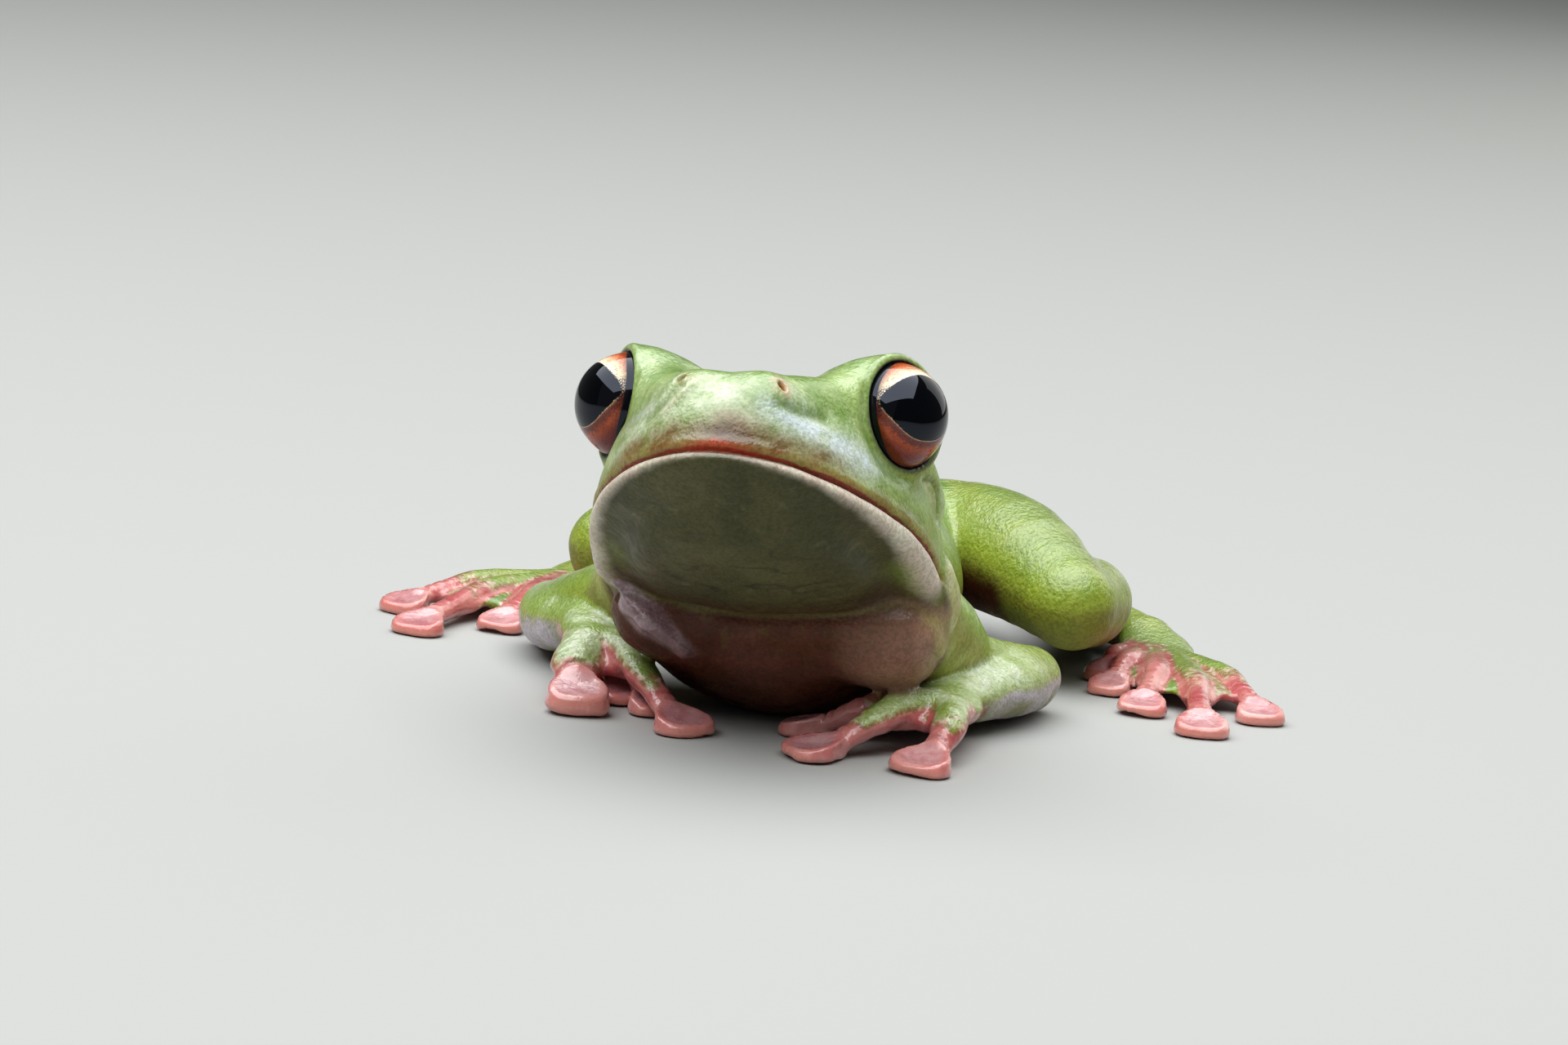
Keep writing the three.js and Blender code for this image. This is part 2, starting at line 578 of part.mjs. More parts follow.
const start = (keys) => vec(...keys[0].slice(0, 3));
const finish = (keys) => vec(...keys[keys.length - 1].slice(0, 3));

// Upper arm, forearm, palm and fingers of one arm, each cut to meet the next.
function armPieces({ upper, fore, palm, fingers }) {
  let a = solid(limb(upper));
  let b = solid(limb(fore));
  let c = solid(limb(palm, { rings: 5 }));
  [a, b] = partAt(finish(upper), start(upper), finish(fore), a, b);
  [b, c] = partAt(finish(fore), start(fore), finish(palm), b, c);
  let taken = solid(limb(palm, { rings: 5, grow: GAP }));
  const rays = [];
  for (const finger of fingers.toReversed()) {
    rays.unshift(solid(digit(finger)).subtract(taken));
    taken = taken.add(solid(digit(finger, GAP)));
  }
  return [a, b, c, ...rays].map(largest);
}

// Thigh, shank, tarsus and webbed foot of one leg, each cut to meet the next.
function legPieces(side) {
  const turn = ([x, ...more]) => [side * x, ...more];
  const [thigh, shank, tarsus, sole] = [LEG.thigh, LEG.shank, LEG.tarsus, LEG.sole].map((k) => k.map(turn));
  const toes = LEG.toes.map(({ from, over, tip, ...sizes }) => ({
    from: turn(from),
    over: turn(over),
    tip: turn(tip),
    ...sizes,
  }));
  let a = solid(limb(thigh, { rings: 8, sides: 12 }));
  let b = solid(limb(shank, { rings: 8 }));
  let c = solid(limb(tarsus));
  let d = solid(limb(sole, { rings: 4, sides: 8 }));
  for (const toe of toes) d = d.add(solid(digit(toe)));
  for (let i = 0; i < toes.length - 1; i++) {
    const pair = side > 0 ? [toes[i + 1], toes[i]] : [toes[i], toes[i + 1]];
    d = d.add(solid(web(...pair, WEB_SHARE)));
  }
  [a, b] = partAt(finish(thigh), start(thigh), finish(shank), a, b);
  [b, c] = partAt(finish(shank), start(shank), finish(tarsus), b, c);
  [c, d] = partAt(finish(tarsus), start(tarsus), finish(sole), c, d);
  return [a, b, c, d].map(largest);
}

// The trunk, with a flat belly and a socket for each limb.
function trunkPiece() {
  const rootOfNeck = (p) => -p.clone().sub(NECK_POINT).dot(NECK_NORMAL) - 2 * TORSO_CELL;
  const shape = (p) => Math.max(bodyShape(p), rootOfNeck(p));
  let trunk = solid(surfaceNet(shape, [-19, -32, -6], [19, 48, 32], TORSO_CELL));
  trunk = trunk.subtract(beyond(NECK_POINT, NECK_NORMAL.clone().negate(), -HALF_GAP));
  trunk = trunk.subtract(beyond(vec(0, 0, 0), vec(0, 0, -1)));
  for (const { upper, fore, palm, fingers } of Object.values(ARMS)) {
    for (const keys of [upper, fore, palm]) trunk = trunk.subtract(solid(limb(keys, { grow: GAP })));
    for (const finger of fingers) trunk = trunk.subtract(solid(digit(finger, GAP)));
  }
  for (const side of [-1, 1]) {
    for (const keys of [LEG.thigh, LEG.shank]) {
      const mirrored = keys.map(([x, ...more]) => [side * x, ...more]);
      trunk = trunk.subtract(solid(limb(mirrored, { rings: 8, sides: 12, grow: GAP })));
    }
  }
  return largest(trunk);
}

// ---------------------------------------------------------------- the frog

const LEAF_GREEN = new THREE.MeshStandardMaterial({ color: '#6fae3c', roughness: 0.45, metalness: 0 });
const CREAM = new THREE.MeshStandardMaterial({ color: '#d8d2b4', roughness: 0.5, metalness: 0 });
const PINK = new THREE.MeshStandardMaterial({ color: '#d98c86', roughness: 0.4, metalness: 0 });
const EYE_BLACK = new THREE.MeshStandardMaterial({ color: '#1a0d08', roughness: 0.05, metalness: 0 });

const frog = new THREE.Group();
const body = new THREE.Group();
frog.add(body);

function addPiece(name, made, material) {
  const { vertProperties, triVerts } = made.getMesh();
  const geometry = new THREE.BufferGeometry();
  geometry.setAttribute('position', new THREE.Float32BufferAttribute(vertProperties, 3));
  geometry.setIndex(Array.from(triVerts));
  const mesh = new THREE.Mesh(geometry, material.clone());
  mesh.name = name;
  body.add(mesh);
}

const [skull, jaw] = headPieces();
addPiece('head', skull, LEAF_GREEN);
addPiece('lower_jaw', jaw, CREAM);
addPiece('torso', trunkPiece(), LEAF_GREEN);
for (const [sideName, arm] of Object.entries(ARMS)) {
  const eye = vec(arm.side * EYE_X, 0, 0);
  const ball = new THREE.IcosahedronGeometry(EYE_RADIUS, 3);
  const place = headFrame.clone().multiply(new THREE.Matrix4().makeTranslation(eye.x, eye.y, eye.z));
  addPiece(`eye_${sideName}`, solid(ball, place), EYE_BLACK);
  const [upper, fore, palm, ...fingers] = armPieces(arm);
  addPiece(`upper_arm_${sideName}`, upper, LEAF_GREEN);
  addPiece(`forearm_${sideName}`, fore, LEAF_GREEN);
  addPiece(`palm_${sideName}`, palm, PINK);
  fingers.forEach((finger, i) => addPiece(`finger_${sideName}_${i + 1}`, finger, PINK));
  const [thigh, shank, tarsus, foot] = legPieces(arm.side);
  addPiece(`thigh_${sideName}`, thigh, LEAF_GREEN);
  addPiece(`shank_${sideName}`, shank, LEAF_GREEN);
  addPiece(`tarsus_${sideName}`, tarsus, LEAF_GREEN);
  addPiece(`foot_${sideName}`, foot, PINK);
}

// The origin is on the floor under the middle of the frog.
const box = new THREE.Box3().setFromObject(frog);
body.position.set(-(box.min.x + box.max.x) / 2, -(box.min.y + box.max.y) / 2, -box.min.z);

export default frog;
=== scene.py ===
"""A white-lipped tree frog at rest, life size: its skin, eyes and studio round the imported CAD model."""

import math

import bmesh
import bpy
import numpy as np
from mathutils import Matrix, Vector


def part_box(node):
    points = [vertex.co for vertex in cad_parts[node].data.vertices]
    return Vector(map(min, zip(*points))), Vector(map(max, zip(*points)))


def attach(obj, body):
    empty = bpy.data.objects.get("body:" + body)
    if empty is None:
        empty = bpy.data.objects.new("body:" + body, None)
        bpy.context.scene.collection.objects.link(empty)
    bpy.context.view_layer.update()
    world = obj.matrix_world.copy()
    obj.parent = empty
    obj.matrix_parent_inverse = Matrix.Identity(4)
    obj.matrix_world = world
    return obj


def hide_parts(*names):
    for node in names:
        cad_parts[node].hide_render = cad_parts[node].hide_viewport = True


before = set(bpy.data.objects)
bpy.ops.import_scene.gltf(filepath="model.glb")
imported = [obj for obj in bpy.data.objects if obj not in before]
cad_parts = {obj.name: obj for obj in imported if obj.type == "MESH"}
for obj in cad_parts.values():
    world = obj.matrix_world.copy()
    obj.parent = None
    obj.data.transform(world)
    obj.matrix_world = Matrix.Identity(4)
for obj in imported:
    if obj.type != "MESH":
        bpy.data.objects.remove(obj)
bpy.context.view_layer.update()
F32 = np.float32

# ---------- the frog's own dimensions, mm

FINE, COARSE, UPRIGHT = ((0.28, 0.46, 0.3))

EYES_AT = np.array([0.0, -26.0, 29.0])
HEAD_PITCH = 28.0
HEAD_ROLL = 4.5
HALF_WIDTH = 15.1  # at the corners of the mouth
JAW_Y = 10.0  # where the head is widest
SNOUT_REACH = 26.0  # from there to the tip of the snout
NAPE_REACH = 15.0  # from there to the back of the skull
PLAN_POWER = 1.85  # a little more pointed than an ellipse
MOUTH_FRONT = -9.2  # height of the mouth line under the snout
MOUTH_SLOPE = 0.03
MOUTH_DROOP = 0.011  # the mouth line curves down behind the eyes
MOUTH_END_Y = 10.4  # the corner of the mouth
JAW_DEPTH = 4.1
CROWN_FRONT = 0.3
CROWN_RISE = 2.4
SHARE_TO_MM = 9  # turns the head's share of its outline into about millimetres
DISC_LENGTH = 0.42  # half the length of a toe disc, in disc widths
EYE_RADIUS = 4.75
EYE_X = 11.4
ORBIT = 5.4  # the skin round the eyeball
CORNEA_RISE = 0.3
LID_TURN = 30.0  # degrees that the lids look forward of straight sideways
GAZE_TURN = 43.0  # the same for the pupils
LID_PLANE = 1.15
LID_RADIUS = 4.95
LID_ROLL = 0.32
NOSTRIL = (3.8, -13.2, -2.9)
NOSTRIL_ASIDE = 0.6  # both lie a little to the left
NOSTRIL_OUTWARD = 0.62
MOUND_RADIUS = 1.2  # round the nostril
PIT_RADIUS = 0.47

# Soft forms that the skin has over the solids: ends or middle, and radii.
ARMPIT_FOLD = ((-11.6, -24.3, 11.7), (-8.6, -25.6, 9.6), (-5.4, -24.6, 6.8))
BREAST = ((11.8, -20.6, 10.3), (4.2, 4.4, 4.2))
LOBE = ((15.5, -20.4, 15.6), (15.6, -17.4, 12.2))  # behind the corner of the jaw
EAR = (8.8, -4.4)  # y and z of the ear drum in the head's frame
EAR_RADIUS = 2.05
CREST = ((-2.6, -14.7, -2.9), (-3.9, -14.7, -4.6), (-5.8, -13.5, -6.2))  # on the snout
VALLEYS = (
    ((-3.7, -14.3, -3.2), (-5.1, -13.9, -4.7), (-6.9, -12.3, -5.6)),
    ((5.0, -14.1, -4.4), (6.3, -12.8, -4.5), (8.1, -10.1, -4.0)),
)
CHEEK_HOLLOW = ((7.6, -9.6, -3.4), (2.6, 2.6, 1.7))
CHEEK_RIDGE = ((8.2, -10.2, -7.4), (4, -14.6, -6.6))
DISC_CREASES = ((0, 0.32), (0.75, 0.17), (1.9, 0.08), (3.2, 0.1))  # behind the disc's root, depth

# Share of a digit's length up to which its back is green.
GREEN_SHARE = {"finger_4": 0.55, "finger_3": 0.72, "finger_2": 0.3, "toe_5": 0.55, "toe_4": 0.5}
PINK_SHARE = 0.1  # the same for the other digits

# Limbs as chains of sections (x, y, z, half width, half height). Digits as root, knuckle, tip, width of the
# digit, width of the disc, thickness.
TIP = 0.85  # height of a digit's tip over the floor
WEB = 0.42  # half the thickness of a web
ARMS = {
    -1: {
        "chain": [
            (-10.8, -10.5, 9.6, 4.6, 4.4), (-18.9, -4, 5.9, 3.9, 3.5), (-24.5, 3.2, 3.2, 2.9, 2.9),
            (-22.8, -2, 3.8, 3.2, 2.9), (-17.6, -9.8, 5.2, 2.5, 2.1), (-16.2, -12.2, 5.1, 3.4, 1.9),
            (-15, -14.6, 4.6, 3.4, 1.6),
        ],
        "fingers": [
            ((-15.2, -12.2, 4.9), (-14.4, -14.6, 2.9), (-12.6, -17, TIP), 2.0, 3.6, 0.95),
            ((-13.6, -13.8, 4.9), (-11.4, -16.4, 3.1), (-9, -19.6, TIP), 2.3, 4.2, 0.95),
            ((-13.7, -15, 5), (-9.8, -20.2, 3.5), (-4.7, -25.4, TIP), 2.7, 5.3, 0.95),
            ((-16.5, -15, 4.1), (-16.4, -18.6, 2.9), (-14.9, -23, TIP), 4.2, 5.5, 1.5),
        ],
    },
    1: {
        "chain": [
            (10.5, -11.5, 8.4, 4.4, 4.2), (16.3, -5, 4.8, 3.5, 3.4), (20.6, 1.8, 3.1, 2.9, 2.9),
            (20.2, -3.6, 3.5, 3.1, 2.9), (16.7, -13.4, 3.4, 2.5, 2), (16.5, -16.4, 3.5, 3.4, 1.8),
            (16.4, -18.8, 3.5, 3.3, 1.6),
        ],
        "fingers": [
            ((14.6, -15.8, 3.4), (11.6, -17, 2.9), (8.4, -16.8, TIP), 2.1, 3.6, 0.95),
            ((14.4, -17.6, 3.4), (9.9, -20.4, 3), (4.6, -19.8, TIP), 2.3, 4.2, 0.95),
            ((15.4, -19.3, 3.7), (12.2, -24.4, 3.2), (7.5, -28.8, TIP), 2.7, 5.3, 0.95),
            ((17.8, -19.4, 3.7), (18.4, -23.8, 3), (17.2, -28.8, TIP), 2.9, 5.3, 0.95),
        ],
    },
}
# The lengths of a chain: name, first and last section, rings, blend at the root, blend further out.
ARM_LENGTHS = (("upper_arm", 0, 2, 8, 3.2, 1.0), ("forearm", 2, 4, 8, 0.7, 0.7), ("palm", 4, 6, 6, 0.7, 0.7))
LEG_LENGTHS = (
    ("thigh", 0, 3, 8, 4.0, 1.2),
    ("shank", 3, 6, 8, 0.8, 0.8),
    ("tarsus", 6, 8, 8, 0.7, 0.7),
    ("sole", 8, 10, 5, 0.7, 0.7),
)
LEG = [
    (6, 35.5, 9.4, 5.2, 5.2), (10, 30, 9.9, 5.8, 5.8), (15.4, 23.4, 9.8, 5.6, 5.7), (22, 14.5, 8, 4, 4),
    (21.9, 24, 6.7, 4.3, 4.3), (19, 36, 4.6, 3.4, 3.4), (14.8, 46.5, 3.2, 2.7, 2.7),
    (20, 40.6, 2.7, 2.4, 2.2), (26.5, 33, 2.3, 2.6, 1.9), (28, 29.6, 2, 3.6, 1.5), (29, 26.4, 1.7, 3.4, 1.2),
]
TOES = [
    ((26.2, 28.4, 1.5), (24.9, 25.2, 1.9), (24.6, 20.8, TIP), 1.9, 3.4, 0.9),
    ((27.2, 26.8, 1.6), (26.6, 21.4, 2), (26.2, 15, TIP), 2.1, 3.8, 0.9),
    ((28.6, 25.9, 1.7), (30, 17.4, 2.1), (30.4, 7.8, TIP), 2.3, 4.4, 0.9),
    ((30.2, 25.8, 1.7), (34, 15.2, 2.2), (36.8, 2, TIP), 2.5, 4.8, 0.9),
    ((31.2, 26.8, 1.6), (36.6, 19.6, 2), (40.8, 10.8, TIP), 2.3, 4.4, 0.9),
]


# ---------- small maths


def step(v, a, b):
    t = np.clip((v - a) / (b - a), 0, 1)
    return t * t * (3 - 2 * t)


def bump(v, at, width):
    return np.exp(-(((v - at) / width) ** 2))


def blend(a, b, k):
    h = np.maximum(k - np.abs(a - b), 0) / k
    return np.minimum(a, b) - h * h * k / 4


def cut(a, b, k):
    return -blend(-a, b, k)


def oval(x, y, z, rx, ry, rz):
    """The share of the way from the middle to the surface, and about the distance to the surface."""
    near = np.sqrt((x / rx) ** 2 + (y / ry) ** 2 + (z / rz) ** 2)
    steep = np.sqrt((x / rx**2) ** 2 + (y / ry**2) ** 2 + (z / rz**2) ** 2)
    return near, near * (near - 1) / np.maximum(steep, 1e-6)


def ellipsoid(x, y, z, at, radii, pitch=0.0):
    c, s = math.cos(math.radians(pitch)), math.sin(math.radians(pitch))
    dx, dy, dz = x - at[0], y - at[1], z - at[2]
    return oval(dx, dy * c - dz * s, dy * s + dz * c, *radii)[1]


def rod(x, y, z, a, b, ra, rb):
    ab = [b[i] - a[i] for i in range(3)]
    px, py, pz = x - a[0], y - a[1], z - a[2]
    t = np.clip((px * ab[0] + py * ab[1] + pz * ab[2]) / sum(v * v for v in ab), 0, 1)
    gap = np.sqrt((px - ab[0] * t) ** 2 + (py - ab[1] * t) ** 2 + (pz - ab[2] * t) ** 2)
    return gap - (ra + (rb - ra) * t)


def turned(axis, degrees):
    return np.array(Matrix.Rotation(math.radians(degrees), 3, axis))


HEAD = turned("Y", -HEAD_ROLL) @ turned("X", -HEAD_PITCH)


def to_head(x, y, z):
    d = [v - e for v, e in zip((x, y, z), EYES_AT)]
    return [HEAD[0, k] * d[0] + HEAD[1, k] * d[1] + HEAD[2, k] * d[2] for k in range(3)]


def curve(keys, t):
    """A centripetal Catmull-Rom curve through keys, at the shares t of its length in keys."""
    pts = np.array(keys, float)
    n = len(pts) - 1
    out = []
    for share in np.atleast_1d(t):
        at = min(max(share, 0), 1) * n
        i = min(int(at), n - 1)
        w = at - i
        p1, p2 = pts[i], pts[i + 1]
        p0 = pts[i - 1] if i > 0 else 2 * p1 - p2
        p3 = pts[i + 2] if i + 2 <= n else 2 * p2 - p1
        d0, d1, d2 = [max(np.sum((b - a)[:3] ** 2) ** 0.25, 1e-4) for a, b in ((p0, p1), (p1, p2), (p2, p3))]
        t1 = ((p1 - p0) / d0 - (p2 - p0) / (d0 + d1) + (p2 - p1) / d1) * d1
        t2 = ((p2 - p1) / d1 - (p3 - p1) / (d1 + d2) + (p3 - p2) / d2) * d1
        c2 = -3 * p1 + 3 * p2 - 2 * t1 - t2
        c3 = 2 * p1 - 2 * p2 + t1 + t2
        out.append(p1 + t1 * w + c2 * w * w + c3 * w**3)
    return np.array(out)


# ---------- repeatable noise in numpy


def lattice(ix, iy, iz, seed):
    h = (ix * 374761393 + iy * 668265263 + iz * 2147483647 + seed * 974711) & 0xFFFFFFFF
    h = ((h ^ (h >> 13)) * 1274126177) & 0xFFFFFFFF
    h = ((h ^ (h >> 16)) * 2246822519) & 0xFFFFFFFF
    return ((h ^ (h >> 15)) & 0xFFFFFF) / float(0xFFFFFF)


def noise(p, size, seed=1):
    """Smooth value noise from -1 to 1, with lumps of about size."""
    q = p / size
    base = np.floor(q).astype(np.int64)
    w = q - base
    w = w * w * w * (w * (w * 6 - 15) + 10)
    total = np.zeros(len(p))
    for c in range(8):
        o = np.array([c & 1, (c >> 1) & 1, (c >> 2) & 1])
        share = np.prod(np.where(o, w, 1 - w), axis=1)
        at = base + o
        total += share * lattice(at[:, 0], at[:, 1], at[:, 2], seed)
    return total * 2 - 1


def rough(p, size, seed=1, octaves=3):
    return sum(noise(p, size / 2**i, seed + i) / 2**i for i in range(octaves))


# ---------- head and trunk


def mouth_height(y):
    return MOUTH_FRONT - MOUTH_SLOPE * (y + SNOUT_REACH - JAW_Y) - MOUTH_DROOP * np.maximum(y, 0) ** 2


def plan_share(x, y):
    """0 in the middle of the head, 1 on its outline as seen from above."""
    yy = y - JAW_Y
    reach = np.where(yy < 0, SNOUT_REACH, NAPE_REACH)
    return (np.abs(x / HALF_WIDTH) ** PLAN_POWER + np.abs(yy / reach) ** PLAN_POWER) ** (1 / PLAN_POWER)


def head_shape(x, y, z):
    side = np.abs(x)
    mouth = mouth_height(y)
    crown = CROWN_FRONT + CROWN_RISE * step(y, -14, 0)
    rise = np.where(z > mouth, crown - mouth, JAW_DEPTH)
    power = 3.5 + (2.35 - 3.5) * step(y, -17, 2)
    share = (plan_share(x, y) ** power + np.abs((z - mouth) / rise) ** power) ** (1 / power)
    d = (share - 1) * SHARE_TO_MM
    d = blend(d, ellipsoid(side, y, z, (EYE_X, 0, 0), (ORBIT,) * 3), 1.4)  # round the eyeball
    d = blend(d, ellipsoid(side, y, z, (8.4, 1, -0.2), (5, 6.2, 4.7)), 1.8)  # the brow over the eye
    d = blend(d, rod(side, y, z, (7, -5, -1.1), (3.2, -11.8, -3.4), 1.9, 1.4), 3)  # from brow to nostril
    d = blend(d, rod(x, y, z, (-2.6, -11.8, -3.1), (2.6, -11.8, -3.1), 1.5, 1.5), 2)  # between the nostrils
    d = blend(d, rod(side, y, z, (11.4, 5.4, 0.8), (12.2, 12.4, -3), 1.3, 1.6), 2.5)  # fold over the ear
    return blend(d, ellipsoid(x, y, z, (0, 2, -13.2), (10, 11, 2.6)), 3)  # the floor of the mouth


def trunk_shape(x, y, z):
    side = np.abs(x)
    d = ellipsoid(x, y, z, (0, -9.5, 14.6), (13.3, 12.5, 9.6), 20)  # shoulders
    d = blend(d, ellipsoid(x, y, z, (0, -9.8, 8.9), (13.6, 12.4, 9.2)), 4)  # chest
    d = blend(d, ellipsoid(x, y, z, (0, 5, 9.6), (13, 17.5, 10.6), 12), 5)  # belly
    d = blend(d, ellipsoid(x, y, z, (0, 24, 8.6), (9.2, 16.5, 8.7), 8), 5)  # rump
    d = blend(d, rod(x, y, z, (-8.8, -21.2, 9.9), (10.8, -20.9, 11.2), 4.1, 4.5), 5)  # breast
    d = blend(d, rod(x, y, z, (12.6, -16.8, 9.4), (14, -8, 7), 3.4, 4), 3.5)  # flank behind the left arm
    return blend(d, rod(side, y, z, (14.6, -18, 13.8), (14.2, -9, 9), 1.3, 2.1), 3)  # shoulder folds


# ---------- limbs, digits and webs


class Tube:
    """A limb over elliptic sections along a curve through keys (x, y, z, half width, half height)."""

    def __init__(self, keys, parts):
        rings = curve(keys, np.linspace(0, 1, parts + 1))
        self.at, self.size = rings[:, :3], rings[:, 3:5]
        reach = self.size.max() + 2.5
        self.low, self.high = self.at.min(0) - reach, self.at.max(0) + reach

    def field(self, x, y, z):
        """Distance, share of the length, and how far up (1) or down (-1) round the limb."""
        best = share = up = None
        n = len(self.at) - 1
        for i in range(n):
            a, b = self.at[i], self.at[i + 1]
            ab = b - a
            along = ab / np.linalg.norm(ab)
            side = np.cross(along, (0, 0, 1))
            side /= np.linalg.norm(side)
            top = np.cross(side, along)
            px, py, pz = x - a[0], y - a[1], z - a[2]
            t = np.clip((px * ab[0] + py * ab[1] + pz * ab[2]) / (ab @ ab), 0, 1)
            qx, qy, qz = px - ab[0] * t, py - ab[1] * t, pz - ab[2] * t
            w = self.size[i, 0] + (self.size[i + 1, 0] - self.size[i, 0]) * t
            h = self.size[i, 1] + (self.size[i + 1, 1] - self.size[i, 1]) * t
            u = qx * side[0] + qy * side[1] + qz * side[2]
            v = qx * top[0] + qy * top[1] + qz * top[2]
            s = qx * along[0] + qy * along[1] + qz * along[2]
            near, d = oval(u, v, s, w, h, (w + h) / 2)
            if best is None:
                best, share, up = d, (i + t) / n, v / np.maximum(near * h, 1e-6)
            else:
                nearer = d < best
                share = np.where(nearer, (i + t) / n, share)
                up = np.where(nearer, v / np.maximum(near * h, 1e-6), up)
                best = np.where(nearer, d, best)
        return best, share, up


class Digit:
    """A finger or toe: a flattened ray with knuckles, and the broad disc at its tip."""

    def __init__(self, start, over, tip, width, disc, thick):
        start, over, tip = [np.array(p, float) for p in (start, over, tip)]
        flat = (tip - over) * (1, 1, 0)
        self.ahead = flat / np.linalg.norm(flat)
        self.tip, self.disc, self.thick = tip, disc, thick
        neck = tip - self.ahead * disc * 0.5
        neck[2] = 1.35 * thick / 0.95
        half = width / 2
        keys = [
            (*start, half * 1.05, half),
            (*over, half * 1.1, half * 0.95),
            (*((over + neck) / 2), half * 0.88, half * 0.84),
            (*neck, half * 0.96, half * 0.74),
        ]
        self.ray = Tube(keys, 9)
        reach = disc / 2 + 1.6
        self.low = np.minimum(self.ray.low, tip - reach)
        self.high = np.maximum(self.ray.high, tip + reach)
        self.path = [start, over, tip]

    def local(self, x, y, z):
        fx, fy = self.ahead[:2]
        dx, dy = x - self.tip[0], y - self.tip[1]
        return dx * fx + dy * fy, dy * fx - dx * fy, z + 0 * dx

    def plan(self, a, b):
        """0 in the middle of the disc, 1 on its outline."""
        la, lb = self.disc * DISC_LENGTH, self.disc / 2
        back = np.where(a < 0, a * 0.72, a)  # longer towards the toe, and narrower
        flare = 1 - 0.38 * step(-a, -la * 0.1, la * 1.35)
        return (np.abs(back / la) ** 2.6 + np.abs(b / (lb * flare)) ** 2.6) ** (1 / 2.6)

    def pad(self, x, y, z):
        a, b, up = self.local(x, y, z)
        la, lb = self.disc * DISC_LENGTH, self.disc / 2
        share = self.plan(a, b)
        plan = (share - 1) * (la + lb) / 2 - 0.16 * bump(up, 0.5 * self.thick, 0.5)
        top = self.thick * (1.75 - 0.5 * np.clip(a / la, -1.3, 0.9))
        dish = 0.3 * np.maximum(1 - share, 0) ** 0.7
        high = np.maximum(up - top + dish, -up)
        r = 0.34 * self.thick / 0.95
        out = np.sqrt(np.maximum(plan + r, 0) ** 2 + np.maximum(high + r, 0) ** 2)
        return out + np.minimum(np.maximum(plan + r, high + r), 0) - r

    def field(self, x, y, z):
        d, share, up = self.ray.field(x, y, z)
        return blend(d, self.pad(x, y, z), 0.45), share, up


class Web:
    """The skin between two toes, as ribs from one to the other."""

    def __init__(self, one, two, share):
        self.ribs = []
        for t in np.linspace(0.02, share, 20):
            a, b = curve(one.path, t)[0], curve(two.path, t)[0]
            m = (curve(one.path, t * 0.84)[0] + curve(two.path, t * 0.84)[0]) / 2
            for p in (a, b, m):
                p[2] = 0.85 + max(p[2] - 1, 0) * 0.8
            self.ribs += [(a, m), (m, b)]
        ends = np.array(self.ribs).reshape(-1, 3)
        self.low, self.high = ends.min(0) - 2, ends.max(0) + 2

    def field(self, x, y, z):
        d = None
        for a, b in self.ribs:
            one = rod(x, y, z, a, b, WEB, WEB)
            d = one if d is None else blend(d, one, 0.5)
        return d, None, None


def mirrored(side, keys):
    return [(side * k[0], *k[1:]) for k in keys]


LIMBS = []  # name, side, shape, blend at the root, blend further out


def add_chain(side, keys, lengths):
    for name, first, last, rings, near, far in lengths:
        LIMBS.append((name, side, Tube(keys[first : last + 1], rings), near, far))


def add_digits(side, name, keys, near, web, web_share, web_blend):
    digits = [Digit(*digit) for digit in keys]
    for n, digit in enumerate(digits):
        LIMBS.append((f"{name}_{n + 1}", side, digit, near, 0.35))
    for one, two in zip(digits, digits[1:]):
        LIMBS.append((web, side, Web(one, two, web_share), web_blend, web_blend))


for side, arm in ARMS.items():
    add_chain(side, arm["chain"], ARM_LENGTHS)
    add_digits(side, "finger", arm["fingers"], 0.7, "hand_web", 0.34, 0.6)
for side in (-1, 1):
    add_chain(side, mirrored(side, LEG), LEG_LENGTHS)
    toes = [(*mirrored(side, toe[:3]), *toe[3:]) for toe in TOES]
    add_digits(side, "toe", toes, 0.6, "foot_web", 0.8, 0.5)


# ---------- the whole field, as a list of changes

CHANGES = []  # lowest corner, highest corner, function of (x, y, z, field so far)


def change(low, high, act):
    CHANGES.append((np.array(low, float), np.array(high, float), act))


def change_head(low, high, act):
    """A change given in the head's frame."""
    corners = np.array([[(low, high)[c >> k & 1][k] for k in range(3)] for c in range(8)])
    world = corners @ HEAD.T + EYES_AT
    change(world.min(0), world.max(0), lambda x, y, z, f: act(*to_head(x, y, z), f))


def add_head(x, y, z, f):
    return blend(f, head_shape(x, y, z), 2.5 - 1.6 * step(-z, 9.5, 13))  # sharper at the throat


def limb_change(shape, near, far):
    def act(x, y, z, f):
        d, share, _ = shape.field(x, y, z)
        k = far if share is None else near + (far - near) * step(share, 0.15, 0.5)
        return blend(f, d, k)

    change(shape.low, shape.high, act)


def eye_look(side, turn):
    t = math.radians(turn)
    return np.array([side * math.cos(t), -math.sin(t), 0.0])


def eye_change(side):
    look = eye_look(side, LID_TURN)

    def act(x, y, z, f):
        dx, dy, dz = x - side * EYE_X, y, z
        ahead = dx * look[0] + dy * look[1] + dz * look[2]
        r2 = dx * dx + dy * dy + dz * dz
        round_axis = np.sqrt(np.maximum(r2 - ahead * ahead, 0))
        cone = LID_RADIUS + 0.35 + np.maximum(ahead - LID_PLANE, 0)
        f = cut(f, np.maximum(LID_PLANE - ahead, round_axis - cone), 0.9)
        rim = np.sqrt((round_axis - LID_RADIUS) ** 2 + (ahead - LID_PLANE) ** 2) - LID_ROLL
        f = blend(f, rim, 0.7)
        return cut(f, np.sqrt(r2) - (EYE_RADIUS - 0.06), 0.12)

    change_head((side * EYE_X - 9, -9, -9), (side * EYE_X + 9, 9, 9), act)


def nostril_at(side):
    return np.array([side * NOSTRIL[0] + NOSTRIL_ASIDE, NOSTRIL[1], NOSTRIL[2]])


